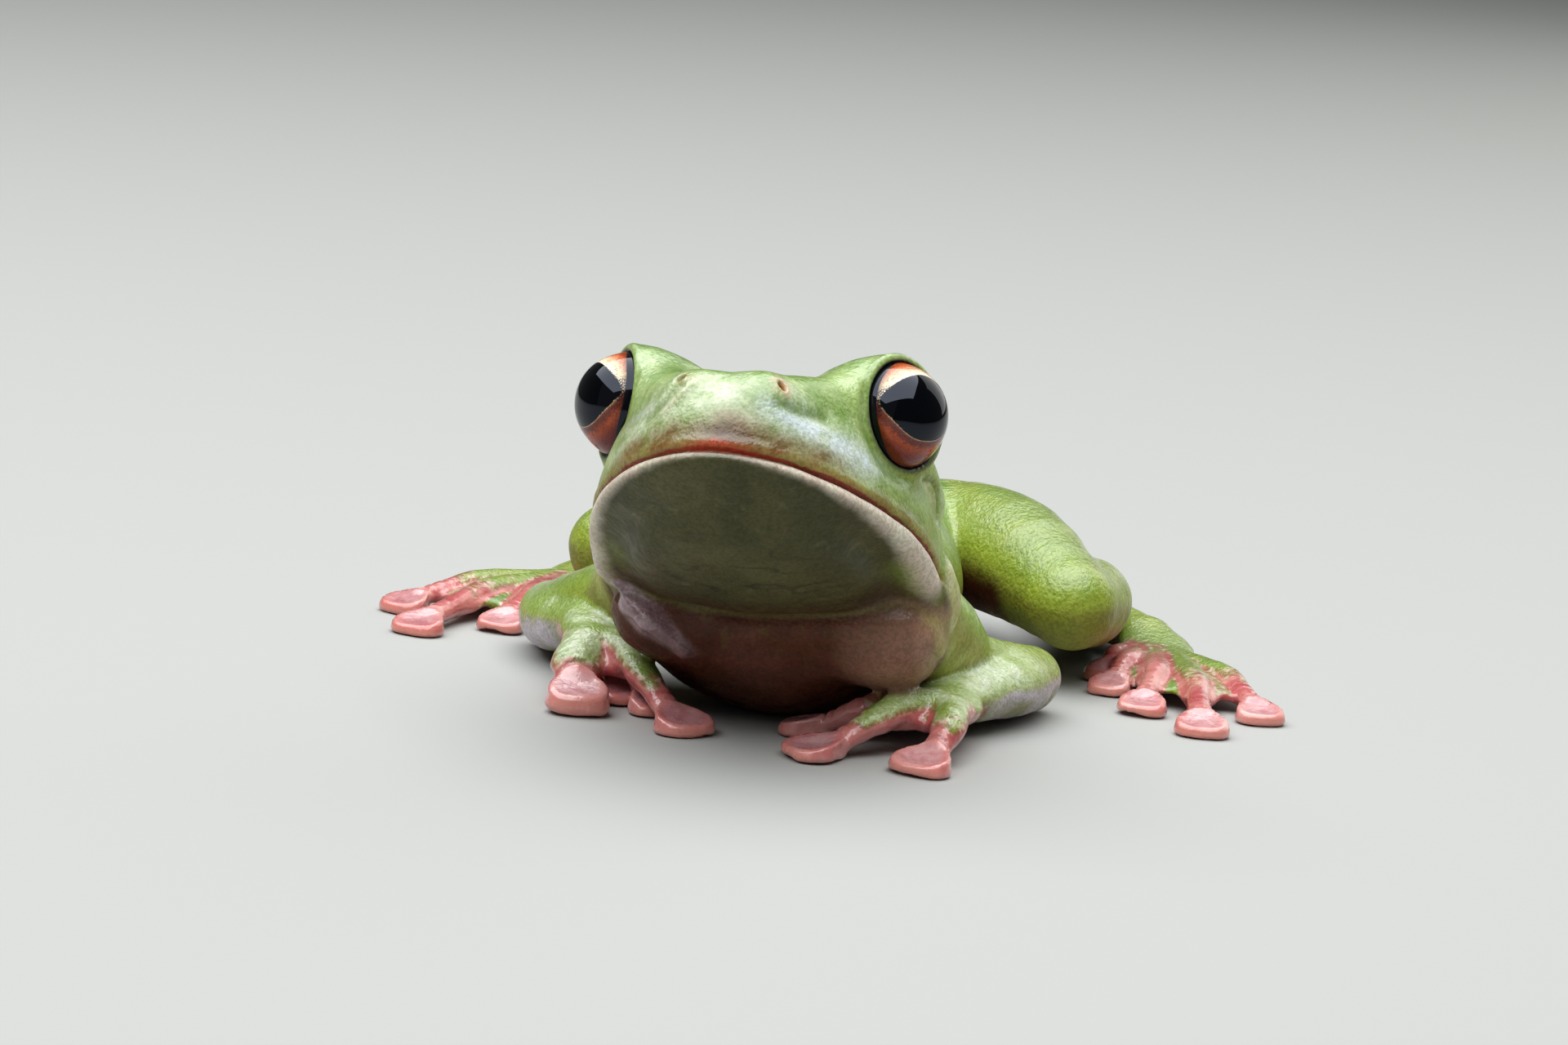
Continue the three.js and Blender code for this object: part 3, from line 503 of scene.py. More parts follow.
def nostril_change(side):
    at = nostril_at(side)
    out = np.array([side * NOSTRIL_OUTWARD, -0.6, 0.5])
    out /= np.linalg.norm(out)
    across = np.cross(out, (0, 0.45, -0.9))
    across /= np.linalg.norm(across)
    down = np.cross(out, across)

    def act(x, y, z, f):
        d = (x - at[0], y - at[1], z - at[2])
        a, b, c = [sum(v * w for v, w in zip(d, axis)) for axis in (out, across, down)]
        mound = np.sqrt((a + 0.95) ** 2 + (b * 0.95) ** 2 + (c * 0.8) ** 2) - MOUND_RADIUS
        f = blend(f, mound, 1.0)
        pit = np.sqrt(b**2 * 2.3 + (c * 1.05) ** 2 + (np.minimum(a, 0) * 0.85) ** 2) - PIT_RADIUS
        return cut(f, pit, 0.35)

    change_head((at[0] - 4, at[1] - 4, at[2] - 4), (at[0] + 4, at[1] + 4, at[2] + 4), act)


def armpit_fold(x, y, z):
    upper = rod(x, y, z, *ARMPIT_FOLD[:2], 0.6, 0.95)
    return blend(upper, rod(x, y, z, *ARMPIT_FOLD[1:], 0.95, 0.6), 0.5)


change((-19, -32, -7), (19, 44, 30), lambda x, y, z, f: blend(f, trunk_shape(x, y, z), 2.5))
change_head((-21, -21, -24), (21, 29, 10), add_head)
for _, _, shape, near, far in LIMBS:
    limb_change(shape, near, far)
for side in (-1, 1):
    eye_change(side)
    nostril_change(side)
change((-15, -29, 3), (-2, -20, 15), lambda x, y, z, f: blend(f, armpit_fold(x, y, z), 1.0))
change((4, -28, 3), (20, -13, 18), lambda x, y, z, f: blend(f, ellipsoid(x, y, z, *BREAST), 3.5))
change((11, -26, 7), (21, -12, 20), lambda x, y, z, f: blend(f, rod(x, y, z, *LOBE, 1.1, 1.35), 1.8))
change((-60, -60, -9), (60, 60, 1.5), lambda x, y, z, f: cut(f, z + 0 * f, 0.35))  # flat on the floor


def field_at(p):
    """The field at points p, an array of rows."""
    f = np.full(len(p), 30.0)
    for low, high, act in CHANGES:
        inside = np.flatnonzero(np.all((p > low) & (p < high), axis=1))
        if len(inside):
            q = p[inside]
            f[inside] = act(q[:, 0], q[:, 1], q[:, 2], f[inside])
    return f


# ---------- meshing


def spaced(low, fine_low, fine_high, high):
    """The grid's places along one axis, close together in the middle."""
    return np.concatenate([
        np.linspace(low, fine_low, max(int((fine_low - low) / COARSE), 1), endpoint=False),
        np.linspace(fine_low, fine_high, max(int((fine_high - fine_low) / FINE), 1), endpoint=False),
        np.linspace(fine_high, high, max(int((high - fine_high) / COARSE), 2)),
    ])


def surface_net():
    """The field's surface in quads, with one point for each cell of the grid that it crosses."""
    xs = spaced(-44.5, -21, 21, 44.5)
    ys = spaced(-47.6, -46.5, -8, 52)
    zs = np.arange(-0.9, 37.6, UPRIGHT)
    f = np.full((len(xs), len(ys), len(zs)), 30.0, F32)
    for low, high, act in CHANGES:
        cuts = [slice(*np.searchsorted(v, (a, b))) for v, a, b in zip((xs, ys, zs), low, high)]
        x, y, z = [v[c].astype(F32) for v, c in zip((xs, ys, zs), cuts)]
        x, y, z = x[:, None, None], y[None, :, None], z[None, None, :]
        part = f[tuple(cuts)]
        if part.size:
            f[tuple(cuts)] = act(x, y, z, part)
    for edge in ((0,), (-1,)):
        f[edge[0]], f[:, edge[0]], f[:, :, edge[0]] = 1, 1, 1
    inside = f < 0
    nx, ny, nz = f.shape
    total = np.zeros((nx - 1, ny - 1, nz - 1), np.int8)
    for c in range(8):
        i, j, k = c & 1, c >> 1 & 1, c >> 2 & 1
        total += inside[i : nx - 1 + i, j : ny - 1 + j, k : nz - 1 + k]
    cells = (total > 0) & (total < 8)
    ci, cj, ck = np.nonzero(cells)
    number = np.full(cells.shape, -1, np.int64)
    number[ci, cj, ck] = np.arange(len(ci))
    corner = [f[ci + (c & 1), cj + (c >> 1 & 1), ck + (c >> 2 & 1)] for c in range(8)]
    corner = np.stack(corner, 1).astype(float)
    at = np.zeros((len(ci), 3))
    hits = np.zeros(len(ci))
    for a in range(8):
        for bit in (1, 2, 4):
            if a & bit:
                continue
            va, vb = corner[:, a], corner[:, a | bit]
            crossed = (va < 0) != (vb < 0)
            t = np.where(crossed, va / np.where(crossed, va - vb, 1), 0)
            for m in range(3):
                one, two = a >> m & 1, (a | bit) >> m & 1
                at[:, m] += np.where(crossed, one + (two - one) * t, 0)
            hits += crossed
    at /= hits[:, None]
    points = np.empty_like(at)
    for m, (v, c) in enumerate(zip((xs, ys, zs), (ci, cj, ck))):
        points[:, m] = v[c] + (v[c + 1] - v[c]) * at[:, m]
    quads = []
    for m in range(3):
        head = [slice(1, n - 1) for n in f.shape]
        head[m] = slice(0, f.shape[m] - 1)
        tail = list(head)
        tail[m] = slice(1, f.shape[m])
        a, b = inside[tuple(head)], inside[tuple(tail)]
        cross = np.argwhere(a != b) + [h.start for h in head]
        u, w = np.eye(3, dtype=int)[(m + 1) % 3], np.eye(3, dtype=int)[(m + 2) % 3]
        ring = [number[tuple((cross - o).T)] for o in (u + w, w, 0 * u, u)]
        quad = np.stack(ring, 1)
        flip = ~inside[tuple(cross.T)]
        quad[flip] = quad[flip][:, ::-1]
        quads.append(quad)
    return points, np.concatenate(quads)


def normals_of(points, faces):
    n = np.zeros_like(points)
    count = faces.shape[1]
    a, b, c, d = [points[faces[:, k % count]] for k in range(4)]
    face = np.cross(c - a, d - b)
    for k in range(count):
        for m in range(3):
            n[:, m] += np.bincount(faces[:, k], face[:, m], len(points))
    return n / np.maximum(np.linalg.norm(n, axis=1), 1e-12)[:, None]


def relaxed(points, faces, amount):
    """The points moved by a share of the way to the middle of their neighbours."""
    total = np.zeros_like(points)
    hits = np.zeros(len(points))
    count = faces.shape[1]
    for k in range(count):
        a, b = faces[:, k], faces[:, (k + 1) % count]
        for m in range(3):
            total[:, m] += np.bincount(a, points[b, m], len(points))
            total[:, m] += np.bincount(b, points[a, m], len(points))
        hits += np.bincount(a, minlength=len(points)) + np.bincount(b, minlength=len(points))
    return points + (total / np.maximum(hits, 1)[:, None] - points) * amount


def settled(points, faces, turns):
    """The points moved along their normals onto the field's surface."""
    for _ in range(turns):
        normal = normals_of(points, faces)
        f = field_at(points)
        slope = (field_at(points + normal * 0.04) - f) / 0.04
        shift = np.clip(-f / np.where(np.abs(slope) < 0.25, 0.25, np.abs(slope)), -0.25, 0.25)
        points = points + normal * shift[:, None]
    return points


def refined(points, faces, near):
    """Splits the quads whose corners are all near into four, and all of them into triangles."""
    mesh = bpy.data.meshes.new("work")
    mesh.from_pydata(points.tolist(), [], faces.tolist())
    bm = bmesh.new()
    bm.from_mesh(mesh)
    bm.verts.ensure_lookup_table()
    edges = [e for e in bm.edges if near[e.verts[0].index] and near[e.verts[1].index]]
    bmesh.ops.subdivide_edges(bm, edges=edges, cuts=1, use_grid_fill=True)
    bmesh.ops.triangulate(bm, faces=bm.faces[:])
    bm.to_mesh(mesh)
    bm.free()
    out = np.zeros(len(mesh.vertices) * 3)
    mesh.vertices.foreach_get("co", out)
    loops = np.zeros(len(mesh.loops), np.int64)
    mesh.loops.foreach_get("vertex_index", loops)
    bpy.data.meshes.remove(mesh)
    return out.reshape(-1, 3), loops.reshape(-1, 3)


def largest_part(points, faces):
    """The largest connected surface alone."""
    label = np.arange(len(points))
    while True:
        low = label[faces].min(axis=1)
        new = label.copy()
        for k in range(faces.shape[1]):
            np.minimum.at(new, faces[:, k], low)
        new = new[new]
        if (new == label).all():
            break
        label = new
    keep = label == np.bincount(label).argmax()
    number = np.cumsum(keep) - 1
    return points[keep], number[faces[keep[faces[:, 0]]]]


points, faces = largest_part(*surface_net())
for amount in (0.5, 0.4):
    points = settled(relaxed(points, faces, amount), faces, 1)

hx, hy, hz = to_head(*points.T)
by_mouth = (np.abs(hz - mouth_height(hy) + 0.6) < 2.2) & (hy < MOUTH_END_Y + 1.5) & (plan_share(hx, hy) > 0.7)
detailed = by_mouth
for side in (-1, 1):
    look = eye_look(side, LID_TURN)
    d = np.stack([hx - side * EYE_X, hy, hz], 1)
    ahead = d @ look
    radial = np.sqrt(np.maximum((d**2).sum(1) - ahead**2, 0))
    detailed |= np.hypot(radial - LID_RADIUS, ahead - LID_PLANE) < 1.4
    detailed |= np.linalg.norm(np.stack([hx, hy, hz], 1) - nostril_at(side), axis=1) < 2.0
points, faces = refined(points, faces, detailed)
points = settled(points, faces, 2)
normal = normals_of(points, faces)

# ---------- lips, folds and creases, along the normal

hx, hy, hz = to_head(*points.T)
head_points = np.stack([hx, hy, hz], 1)
hn = normal @ HEAD
x, y, z = points.T
over_mouth = hz - mouth_height(hy)
fore = head_shape(hx, hy, hz) - trunk_shape(x, y, z)
in_head = step(head_shape(hx, hy, hz), 2.5, 0.3)
rim_share = plan_share(hx, hy)
back = step(hy, -14, MOUTH_END_Y - 2)  # 0 at the snout, 1 at the corner of the mouth
lip_end = 1 - step(hy, MOUTH_END_Y - 2.2, MOUTH_END_Y + 0.8)
on_rim = step(rim_share, 0.72, 0.9) * in_head
waver = 0.08 * noise(points, 3.1, 5)
lip_wide = 0.5 + 0.45 * back
lower_lip = bump(over_mouth, -0.35 - lip_wide, lip_wide) * lip_end * on_rim
upper_lip = bump(over_mouth, 0.7, 0.5) * lip_end * on_rim
mouth_line = bump(over_mouth, waver, 0.19) * lip_end * on_rim
under_lip = bump(over_mouth, -1.7 - 1.7 * lip_wide, 1.1) * step(rim_share, 0.5, 0.8) * in_head
under_lip *= 1 - step(hy, MOUTH_END_Y - 1, MOUTH_END_Y + 3)
move = (0.3 + 0.22 * back) * lower_lip + 0.14 * upper_lip - 0.5 * mouth_line - 0.36 * under_lip


def spot(aside, width, height, depth):
    """A soft spot on the face, from its place across the head and over the mouth."""
    return bump(hx, aside, width) * bump(over_mouth, height, depth)


def off_curve(keys):
    """How far the skin's points lie from a curve in the head's frame."""
    path = curve(keys, np.linspace(0, 1, 7))
    gaps = [rod(hx, hy, hz, a, b, 0, 0) for a, b in zip(path, path[1:])]
    return np.min(gaps, axis=0) + 0.1 * noise(points, 1.7, 81)


crest = bump(off_curve(CREST), 0, 0.5)
groove = sum(bump(off_curve(keys), 0, 0.55) for keys in VALLEYS)
move += 0.15 * crest - 0.26 * groove
for side in (-1, 1):
    to_side = np.array([side, 1, 1])
    hollow = np.linalg.norm((head_points - to_side * CHEEK_HOLLOW[0]) / CHEEK_HOLLOW[1], axis=1)
    ridge = rod(hx, hy, hz, to_side * CHEEK_RIDGE[0], to_side * CHEEK_RIDGE[1], 0, 0)
    move += (0.22 * bump(ridge, 0, 1.3) - 0.3 * bump(hollow, 0, 0.8)) * in_head
beside_ears = np.abs(hx) < 7
from_ear = np.hypot(hy - EAR[0], (hz - EAR[1]) * 1.08) + 9 * beside_ears
move -= (0.3 * bump(from_ear, EAR_RADIUS, 0.3) + 0.14 * (1 - step(from_ear, 1.6, 2.2))) * in_head
move += 0.12 * bump(from_ear, 0, 0.8) * in_head

below = step(-normal[:, 2], -0.25, 0.35)
throat = (1 - step(fore, -0.6, 0.6)) * step(-over_mouth, 0.0, 0.5) * in_head
stretched = np.stack([hx * 0.22, hy, hz], 1) + 0.35 * noise(points, 4, 9)[:, None]
wrinkle = np.abs(noise(stretched, 1.5, 21))
low_throat = throat * step(-over_mouth, 3, 7)
move -= 0.1 * low_throat * (1 - step(wrinkle, 0, 0.2))
crease = bump(fore, 0.2 + 0.8 * noise(points, 5, 12), 0.55) * below
fold = bump(fore, 2.6 + 0.9 * noise(points, 6, 13), 0.5) * below
fold += 0.6 * bump(fore, 4.6 + 0.9 * noise(points, 6, 14), 0.5) * below
move -= 0.4 * crease + 0.16 * fold
low_chest = below * step(fore, 0.5, 3) * (1 - step(y, -2, 6))
move += 0.09 * rough(points, 1.9, 31) * low_chest
move += 0.05 * rough(points, 3.5, 41)


def points_in(shape):
    """The numbers of the points in a limb's box."""
    return np.flatnonzero(np.all((points > shape.low) & (points < shape.high), axis=1))


DIGITS = [limb for limb in LIMBS if isinstance(limb[2], Digit)]
for _, _, shape, _, _ in DIGITS:
    inside = points_in(shape)
    a, b, _ = shape.local(*points[inside].T)
    root = -1.25 * DISC_LENGTH * shape.disc
    near = (np.abs(b) < shape.disc * 0.5) & (shape.ray.field(*points[inside].T)[0] < 0.8)
    for behind, depth in DISC_CREASES:
        bend = 0.1 * shape.disc * (b / shape.disc) ** 2 + 0.08 * noise(points[inside], 1.1, 61)
        move[inside] -= depth * bump(a, root - behind + bend, 0.17) * near * step(normal[inside, 2], 0.0, 0.6)
points = points + normal * move[:, None]
points[:, 2] = np.maximum(points[:, 2], 0)

# ---------- where each colour lies, per vertex

mask = {}
count = len(points)
x, y, z = points.T
normal = normals_of(points, faces)
up = normal[:, 2]
limb_near = {}
for name, side, shape, _, _ in LIMBS:
    inside = points_in(shape)
    d, share, top = shape.field(*points[inside].T)
    on, where, height = np.zeros((3, count))
    on[inside] = 1 - step(d, 0.15, 0.9)
    if share is not None:
        where[inside], height[inside] = share, top
    limb_near[name, side] = (on, where, height)

pink, disc, disc_top, disc_ball = np.zeros((4, count))
for name, side, shape, _, _ in LIMBS:
    on, where, height = limb_near[name, side]
    if name in ("hand_web", "foot_web"):
        pink = np.maximum(pink, on * (0.9 - 0.6 * step(up, 0.5, 0.85)))
    if name in ("palm", "sole"):
        pink = np.maximum(pink, on * (1 - step(height, -0.3, 0.2)))
for name, side, shape, _, _ in DIGITS:
    on, where, height = limb_near[name, side]
    outer = GREEN_SHARE.get(name, PINK_SHARE)
    fade = step(where + 0.16 * noise(points, 1.2, 71), outer - 0.3, outer + 0.22)
    keep = step(height + 0.15 * noise(points, 1.2, 72), -0.1, 0.75) * (1 - fade)
    pink = np.maximum(pink, on * (1 - 0.92 * keep))
    inside = points_in(shape)
    on_disc = np.zeros(count)
    on_disc[inside] = 1 - step(shape.pad(*points[inside].T), 0.1, 0.6)
    disc = np.maximum(disc, on_disc)
    a, b, _ = shape.local(*points[inside].T)
    la = DISC_LENGTH * shape.disc
    on_disc, sideways = on_disc[inside], 1 - step(up[inside], 0.3, 0.8)
    middle = 1 - step(shape.plan(a, b), 0.5, 0.95)
    disc_top[inside] = np.maximum(disc_top[inside], on_disc * middle * (1 - sideways))
    disc_ball[inside] = np.maximum(disc_ball[inside], on_disc * step(a, 0.3 * la, la) * sideways)
pink = np.maximum(pink, disc)

elbow = np.zeros(count)
for side in (-1, 1):
    edge = bump(side * normal[:, 0] - 0.75 * up + 0.12 * noise(points, 1.9, 95), 1.0, 0.24)
    on, where, height = limb_near["forearm", side]
    elbow = np.maximum(elbow, on * edge * (1 - step(where, 0.75, 1.0)))
    on, where, height = limb_near["upper_arm", side]
    elbow = np.maximum(elbow, on * edge * step(where, 0.8, 0.95))
    on, where, height = limb_near["tarsus", side]
    elbow = np.maximum(elbow, 0.9 * on * edge)

below = np.maximum(step(-up, -0.25, 0.35), step(-normal[:, 1], -0.1, 0.4) * step(-y, 10, 16))
belly = below * step(fore, -0.5, 0.5) * (1 - pink)
limb_on = np.max([on for on, _, _ in limb_near.values()], axis=0)
belly = np.maximum(belly, limb_on * step(-up, 0.1, 0.7))
outward = np.abs(x) + 1.2 * noise(points, 2.6, 93) - 1.9 * step(-y, 12, 19)
flank = step(outward, 13.4, 16.4) * below * step(fore, -0.5, 0.5)
belly = belly * (1 - 0.7 * flank) * (1 - limb_on * step(up, -0.1, 0.3))
flank = flank * (1 - limb_on)

lip_low = 0.95 + 0.75 * back - 0.6 * bump(hx, 0.8, 5.5) + 0.12 * noise(points, 1.4, 51)
mask["over"] = 0.5 + 0.1 * over_mouth
mask["lips"] = lip_end * on_rim
mask["lip"] = (1 - step(-over_mouth, lip_low - 0.35, lip_low + 0.6 + 0.3 * back)) * lip_end * on_rim
mask["blush"] = bump(hx, 0.3, 2.4) * bump(over_mouth, 0.25 + 0.3 * bump(hx, 0.3, 1.2), 0.4) * on_rim
mask["red"] = 0.25 + 0.6 * bump(hx, 0.3, 3.4) + 0.45 * bump(hx, 10, 3) + 0.1 * noise(points, 1.3, 91)
# Where the lower lip's cream takes painted shade, at the middle of the mouth; the red mouth line is darker
# there too.
mask["dim"] = bump(hx, 0.6, 4.2)
# Painted reflection: bluish-white streaks of sky light on the snout.
sky = bump(over_mouth + 0.14 * (hx - 3.5), 4.3 + 0.5 * noise(points, 2.2, 92), 1.3)
sky *= step(hx, 2.4, 4.2) * (1 - step(hx, 10.5, 13))
sky += 0.5 * spot(-8.3, 1.6, 4.9, 0.45)
mask["sky"] = sky * in_head
mask["throat"] = throat * (1 - step(hy, MOUTH_END_Y + 1, MOUTH_END_Y + 6) * step(hn[:, 2], -0.5, 0))
# Painted shade: dark brown in the creases and folds between throat and chest.
mask["crease"] = np.clip(crease + 0.5 * fold, 0, 1)
mask["belly"] = belly
mask["pink"] = pink
mask.update(disc=disc, disc_top=disc_top, disc_ball=disc_ball, white=elbow)
ahead_of_eye = step(-hn[:, 1], -0.15, 0.5)
mask["pale"] = step(-hy, -2, 8) * step(over_mouth, 0.1, 0.7) * ahead_of_eye * in_head
mask["pale"] *= 1 - 0.6 * step(-hx, 5.5, 8.5)
mask["muzzle"] = step(over_mouth, 0.4, 2) * step(-hy, 3, 11) * ahead_of_eye * in_head
mask["muzzle"] *= 1 - step(over_mouth + 0.1 * np.abs(hx), 5.5, 9)
mask["under_eye"] = step(over_mouth, 0.2, 1.2) * step(hy, -13, -6) * in_head
mask["under_eye"] *= 1 - step(over_mouth, 3.5, 6.5)
tan = 0.9 * (1 - step(np.abs(hx + 1.5), 5.5, 9)) * bump(over_mouth, 1.2, 1.0 + 0.4 * noise(points, 1.8, 94))
tan += 0.7 * spot(1.2, 2.8, 2.5, 1) + 0.8 * spot(8.3, 1.9, 1.4, 1) + 0.4 * bump(over_mouth, 0.7, 0.9)
mask["tan"] = tan * lip_end * on_rim
# Painted highlight: the lighter patches over the brows.
mask["brow"] = step(over_mouth, 5, 8) * in_head * (1 - step(hn[:, 2], 0.7, 0.95))
mask["breast"] = 1 - step(ellipsoid(x, y, z, *BREAST), 0.2, 2.2)
mask["lobe"] = 1 - step(rod(x, y, z, *LOBE, 1.15, 1.4), 0.3, 1.1)
# Painted shade: darker green in the valleys on the snout.
mask["groove"] = groove
mask["crest"] = crest
mask["ear"] = (1 - step(from_ear, 1.8, 2.3)) * in_head
mask["ear_edge"] = bump(from_ear, EAR_RADIUS, 0.25) * in_head
# Painted shade: dark lines in the throat's wrinkles.
mask["wrinkle"] = low_throat * (1 - step(wrinkle, 0, 0.16))
# The sides' yellow-green, partly painted light: lighter than their own colour, to stand in for light falling
# on them.
mask["flank"] = flank
mask["leafy"] = (spot(1.4, 2.6, 3.6, 1.3) + 0.8 * spot(-9.3, 1.8, 5, 2.2)) * in_head
# Painted shade: dark brown over the middle of the mouth, under the snout's tip.
mask["peak_shade"] = spot(0.9, 3.6, 1.5, 1.1) * on_rim
# Painted shade: darker brown on the throat's lower band, towards the crease with the chest.
mask["low"] = throat * step(fore, -5.5, -0.4)
mask["flap"] = (1 - step(armpit_fold(x, y, z), 0.1, 0.9)) * (0.3 + 0.7 * step(z, 6.0, 10.0))
mask["throat_edge"] = throat * step(rim_share, 0.72, 0.95) * step(hy, -1, 6)
lid, band, pit, rim = np.zeros((4, count))
for side in (-1, 1):
    d = head_points - (side * EYE_X, 0, 0)
    ahead = d @ eye_look(side, LID_TURN)
    from_eye = np.linalg.norm(d, axis=1) - EYE_RADIUS
    lid = np.maximum(lid, (1 - step(from_eye, 0.12, 0.4)))
    lower = (1 - step(d[:, 2], -2.5, 1)) * step(ahead, LID_PLANE - 0.9, LID_PLANE - 0.2)
    band = np.maximum(band, (1 - step(from_eye, 0.4, 0.8)) * lower)
    far = np.linalg.norm(head_points - nostril_at(side), axis=1)
    pit = np.maximum(pit, 1 - step(far, 0.35, 0.75))
    rim = np.maximum(rim, 1 - step(far, 0.7, 1.6))
mask["lid"] = lid
mask["lidband"] = band * (1 - lid)
mask["pit"] = pit
mask["rim"] = rim
mask["dorsal"] = step(up, -0.1, 0.7)
mask["gloss"] = step(up, 0.25, 0.8)
mask["yellow"] = limb_on * (1 - pink)
hands = np.zeros(count)
for side in (-1, 1):
    on, where, height = limb_near["forearm", side]
    hands = np.maximum(hands, on * step(where, 0.2, 0.8))
    for name in ("palm", "finger_1", "finger_2", "finger_3", "finger_4"):
        hands = np.maximum(hands, limb_near[name, side][0])
mask["hands"] = hands * (1 - pink)

# ---------- the skin's mesh, in the part's frame

low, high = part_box("eye_left")
left_eye = np.array((low + high) / 2) * 1000
SHIFT = left_eye - (HEAD @ np.array([EYE_X, 0, 0]) + EYES_AT)


def to_row(p):
    return (np.asarray(p) + SHIFT) / 1000


def add_mesh(name, points, faces, values):
    """A smooth object, with values or vectors at its points."""
    mesh = bpy.data.meshes.new(name)
    mesh.from_pydata(to_row(points).tolist(), [], faces)
    mesh.polygons.foreach_set("use_smooth", [True] * len(mesh.polygons))
    for key, value in values.items():
        kind, field = ("FLOAT", "value") if value.ndim == 1 else ("FLOAT_VECTOR", "vector")
        layer = mesh.attributes.new(key, kind, "POINT")
        layer.data.foreach_set(field, value.astype(F32).ravel())
    mesh.update()
    obj = bpy.data.objects.new(name, mesh)
    bpy.context.collection.objects.link(obj)
    return obj


skin = add_mesh("frog_skin", points, faces.tolist(), {k: np.clip(v, 0, 1) for k, v in mask.items()})
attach(skin, "root")
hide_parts(*[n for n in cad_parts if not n.startswith("eye_")])

# ---------- materials


def srgb(text):
    """A colour written as six hex digits, as linear values."""
    v = [int(text[i : i + 2], 16) / 255 for i in (0, 2, 4)]
    return tuple(c / 12.92 if c <= 0.04045 else ((c + 0.055) / 1.055) ** 2.4 for c in v)


class Nodes:
    """Short names for the shader nodes that the materials are built from."""

    def __init__(self, name, noises=None, where=None):
        self.material = bpy.data.materials.new(name)
        self.material.use_nodes = True
        self.tree = self.material.node_tree
        self.shader = self.tree.nodes["Principled BSDF"]
        self.named = {}  # shares and colours that a coat can name
        if noises:
            coords = None if where else self.node("ShaderNodeTexCoord")
            self.where = self.mask(where, "Vector") if where else coords.outputs["Object"]
            self.noises = {key: self.noise(self.where, *kind) for key, kind in noises.items()}

    def put(self, socket, value):
        if isinstance(value, bpy.types.NodeSocket):
            self.tree.links.new(value, socket)
        elif value is not None:
            socket.default_value = value

    def node(self, kind, **inputs):
        n = self.tree.nodes.new(kind)
        for key, value in inputs.items():
            self.put(n.inputs[key], value)
        return n

    def mask(self, name, output="Fac"):
        n = self.tree.nodes.new("ShaderNodeAttribute")
        n.attribute_name = name
        return n.outputs[output]

    def math(self, kind, a, b=None, c=None):
        n = self.tree.nodes.new("ShaderNodeMath")
        n.operation = kind
        for socket, value in zip(n.inputs, (a, b, c)):
            self.put(socket, value)
        return n.outputs[0]

    def times(self, a, b):
        return self.math("MULTIPLY", a, b)

    def scaled(self, value, by, plus):
        return self.math("MULTIPLY_ADD", value, by, plus)

    def gap(self, a, b):
        """How far a and b are apart."""
        return self.math("ABSOLUTE", self.math("SUBTRACT", a, b))

    def mix(self, share, a, b, kind="MIX"):
        n = self.tree.nodes.new("ShaderNodeMix")
        n.data_type = "RGBA"
        n.blend_type = kind
        self.put(n.inputs[0], share)
        self.put(n.inputs[6], (*a, 1) if isinstance(a, tuple) else a)
        self.put(n.inputs[7], (*b, 1) if isinstance(b, tuple) else b)
        return n.outputs[2]

    def shaded(self, share, colour, tint):
        """A colour multiplied by a tint, for a share."""
        return self.mix(share, colour, self.mix(1.0, colour, tint, "MULTIPLY"))

    def noise(self, where, scale, detail, roughness, distortion=0.0):
        n = self.node("ShaderNodeTexNoise", Vector=where, Scale=scale, Detail=detail)
        self.put(n.inputs["Roughness"], roughness)
        self.put(n.inputs["Distortion"], distortion)
        return n.outputs["Fac"]

    def cells(self, where, scale, smooth=None):
        n = self.node("ShaderNodeTexVoronoi", Scale=scale, Vector=where)
        if smooth is not None:
            n.feature = "SMOOTH_F1"
            self.put(n.inputs["Smoothness"], smooth)
        return n.outputs["Distance"]

    def spread(self, value, a, b, to_a=0.0, to_b=1.0):
        n = self.tree.nodes.new("ShaderNodeMapRange")
        n.interpolation_type = "SMOOTHSTEP"
        for socket, v in zip(n.inputs, (value, a, b, to_a, to_b)):
            self.put(socket, v)
        return n.outputs[0]

    def ramp(self, value, stops):
        n = self.node("ShaderNodeValToRGB")
        self.put(n.inputs[0], value)
        elements = n.color_ramp.elements
        while len(elements) < len(stops):
            elements.new(0.5)
        for element, (at, colour) in zip(elements, stops):
            element.position = at
            element.color = (*srgb(colour), 1)
        return n.outputs[0]

    def share(self, name):
        if name not in self.named:
            self.named[name] = self.mask(name)
        return self.named[name]

    def strewn(self, name, a, b, to_a=0.0, to_b=1.0):
        return self.spread(self.noises[name], a, b, to_a, to_b)

    def tone(self, colour):
        if isinstance(colour, tuple):
            name, a, b, one, two = colour
            return self.mix(self.strewn(name, a, b), srgb(one), srgb(two))
        return self.named[colour] if colour in self.named else srgb(colour)

    def laid(self, colour, coats):
        """Coats of colour, each laid over those before it."""
        for where, strength, tone in coats:
            share = self.strewn(*strength) if isinstance(strength, tuple) else strength
            for name in where.split():
                share = self.share(name) if share == 1 else self.times(self.share(name), share)
            colour = self.mix(share, colour, self.tone(tone))
        return colour


# The skin's noises: scale, detail, roughness, distortion.
SKIN_NOISES = {
    "broad": (90, 4, 0.55),
    "fine": (600, 5, 0.6),
    "patch": (220, 4, 0.6, 0.4),
    "cloud": (150, 3, 0.5, 0.8),
    "streak": (420, 4, 0.65, 1.2),
    "blot": (240, 3, 0.55, 0.9),
    "granule": (2900, 3, 0.6),
    "glint": (1300, 2, 0.5, 0.3),
    "pebble": (2200, 3, 0.6, 0.1),
}

# Coats of colour: (where, strength, colour). Where names the masks that are multiplied. A strength is a
# number, or (noise, value, value, strength at the one, strength at the other). A colour is one tone, the name
# of a mix, or (noise, value, value, tone at the one, tone at the other).
LEAF = ("broad", 0.35, 0.65, "557f1c", "7aa232")
LEAF_COATS = [("", ("patch", 0.45, 0.7, 0, 0.3), "9cbb5e")]
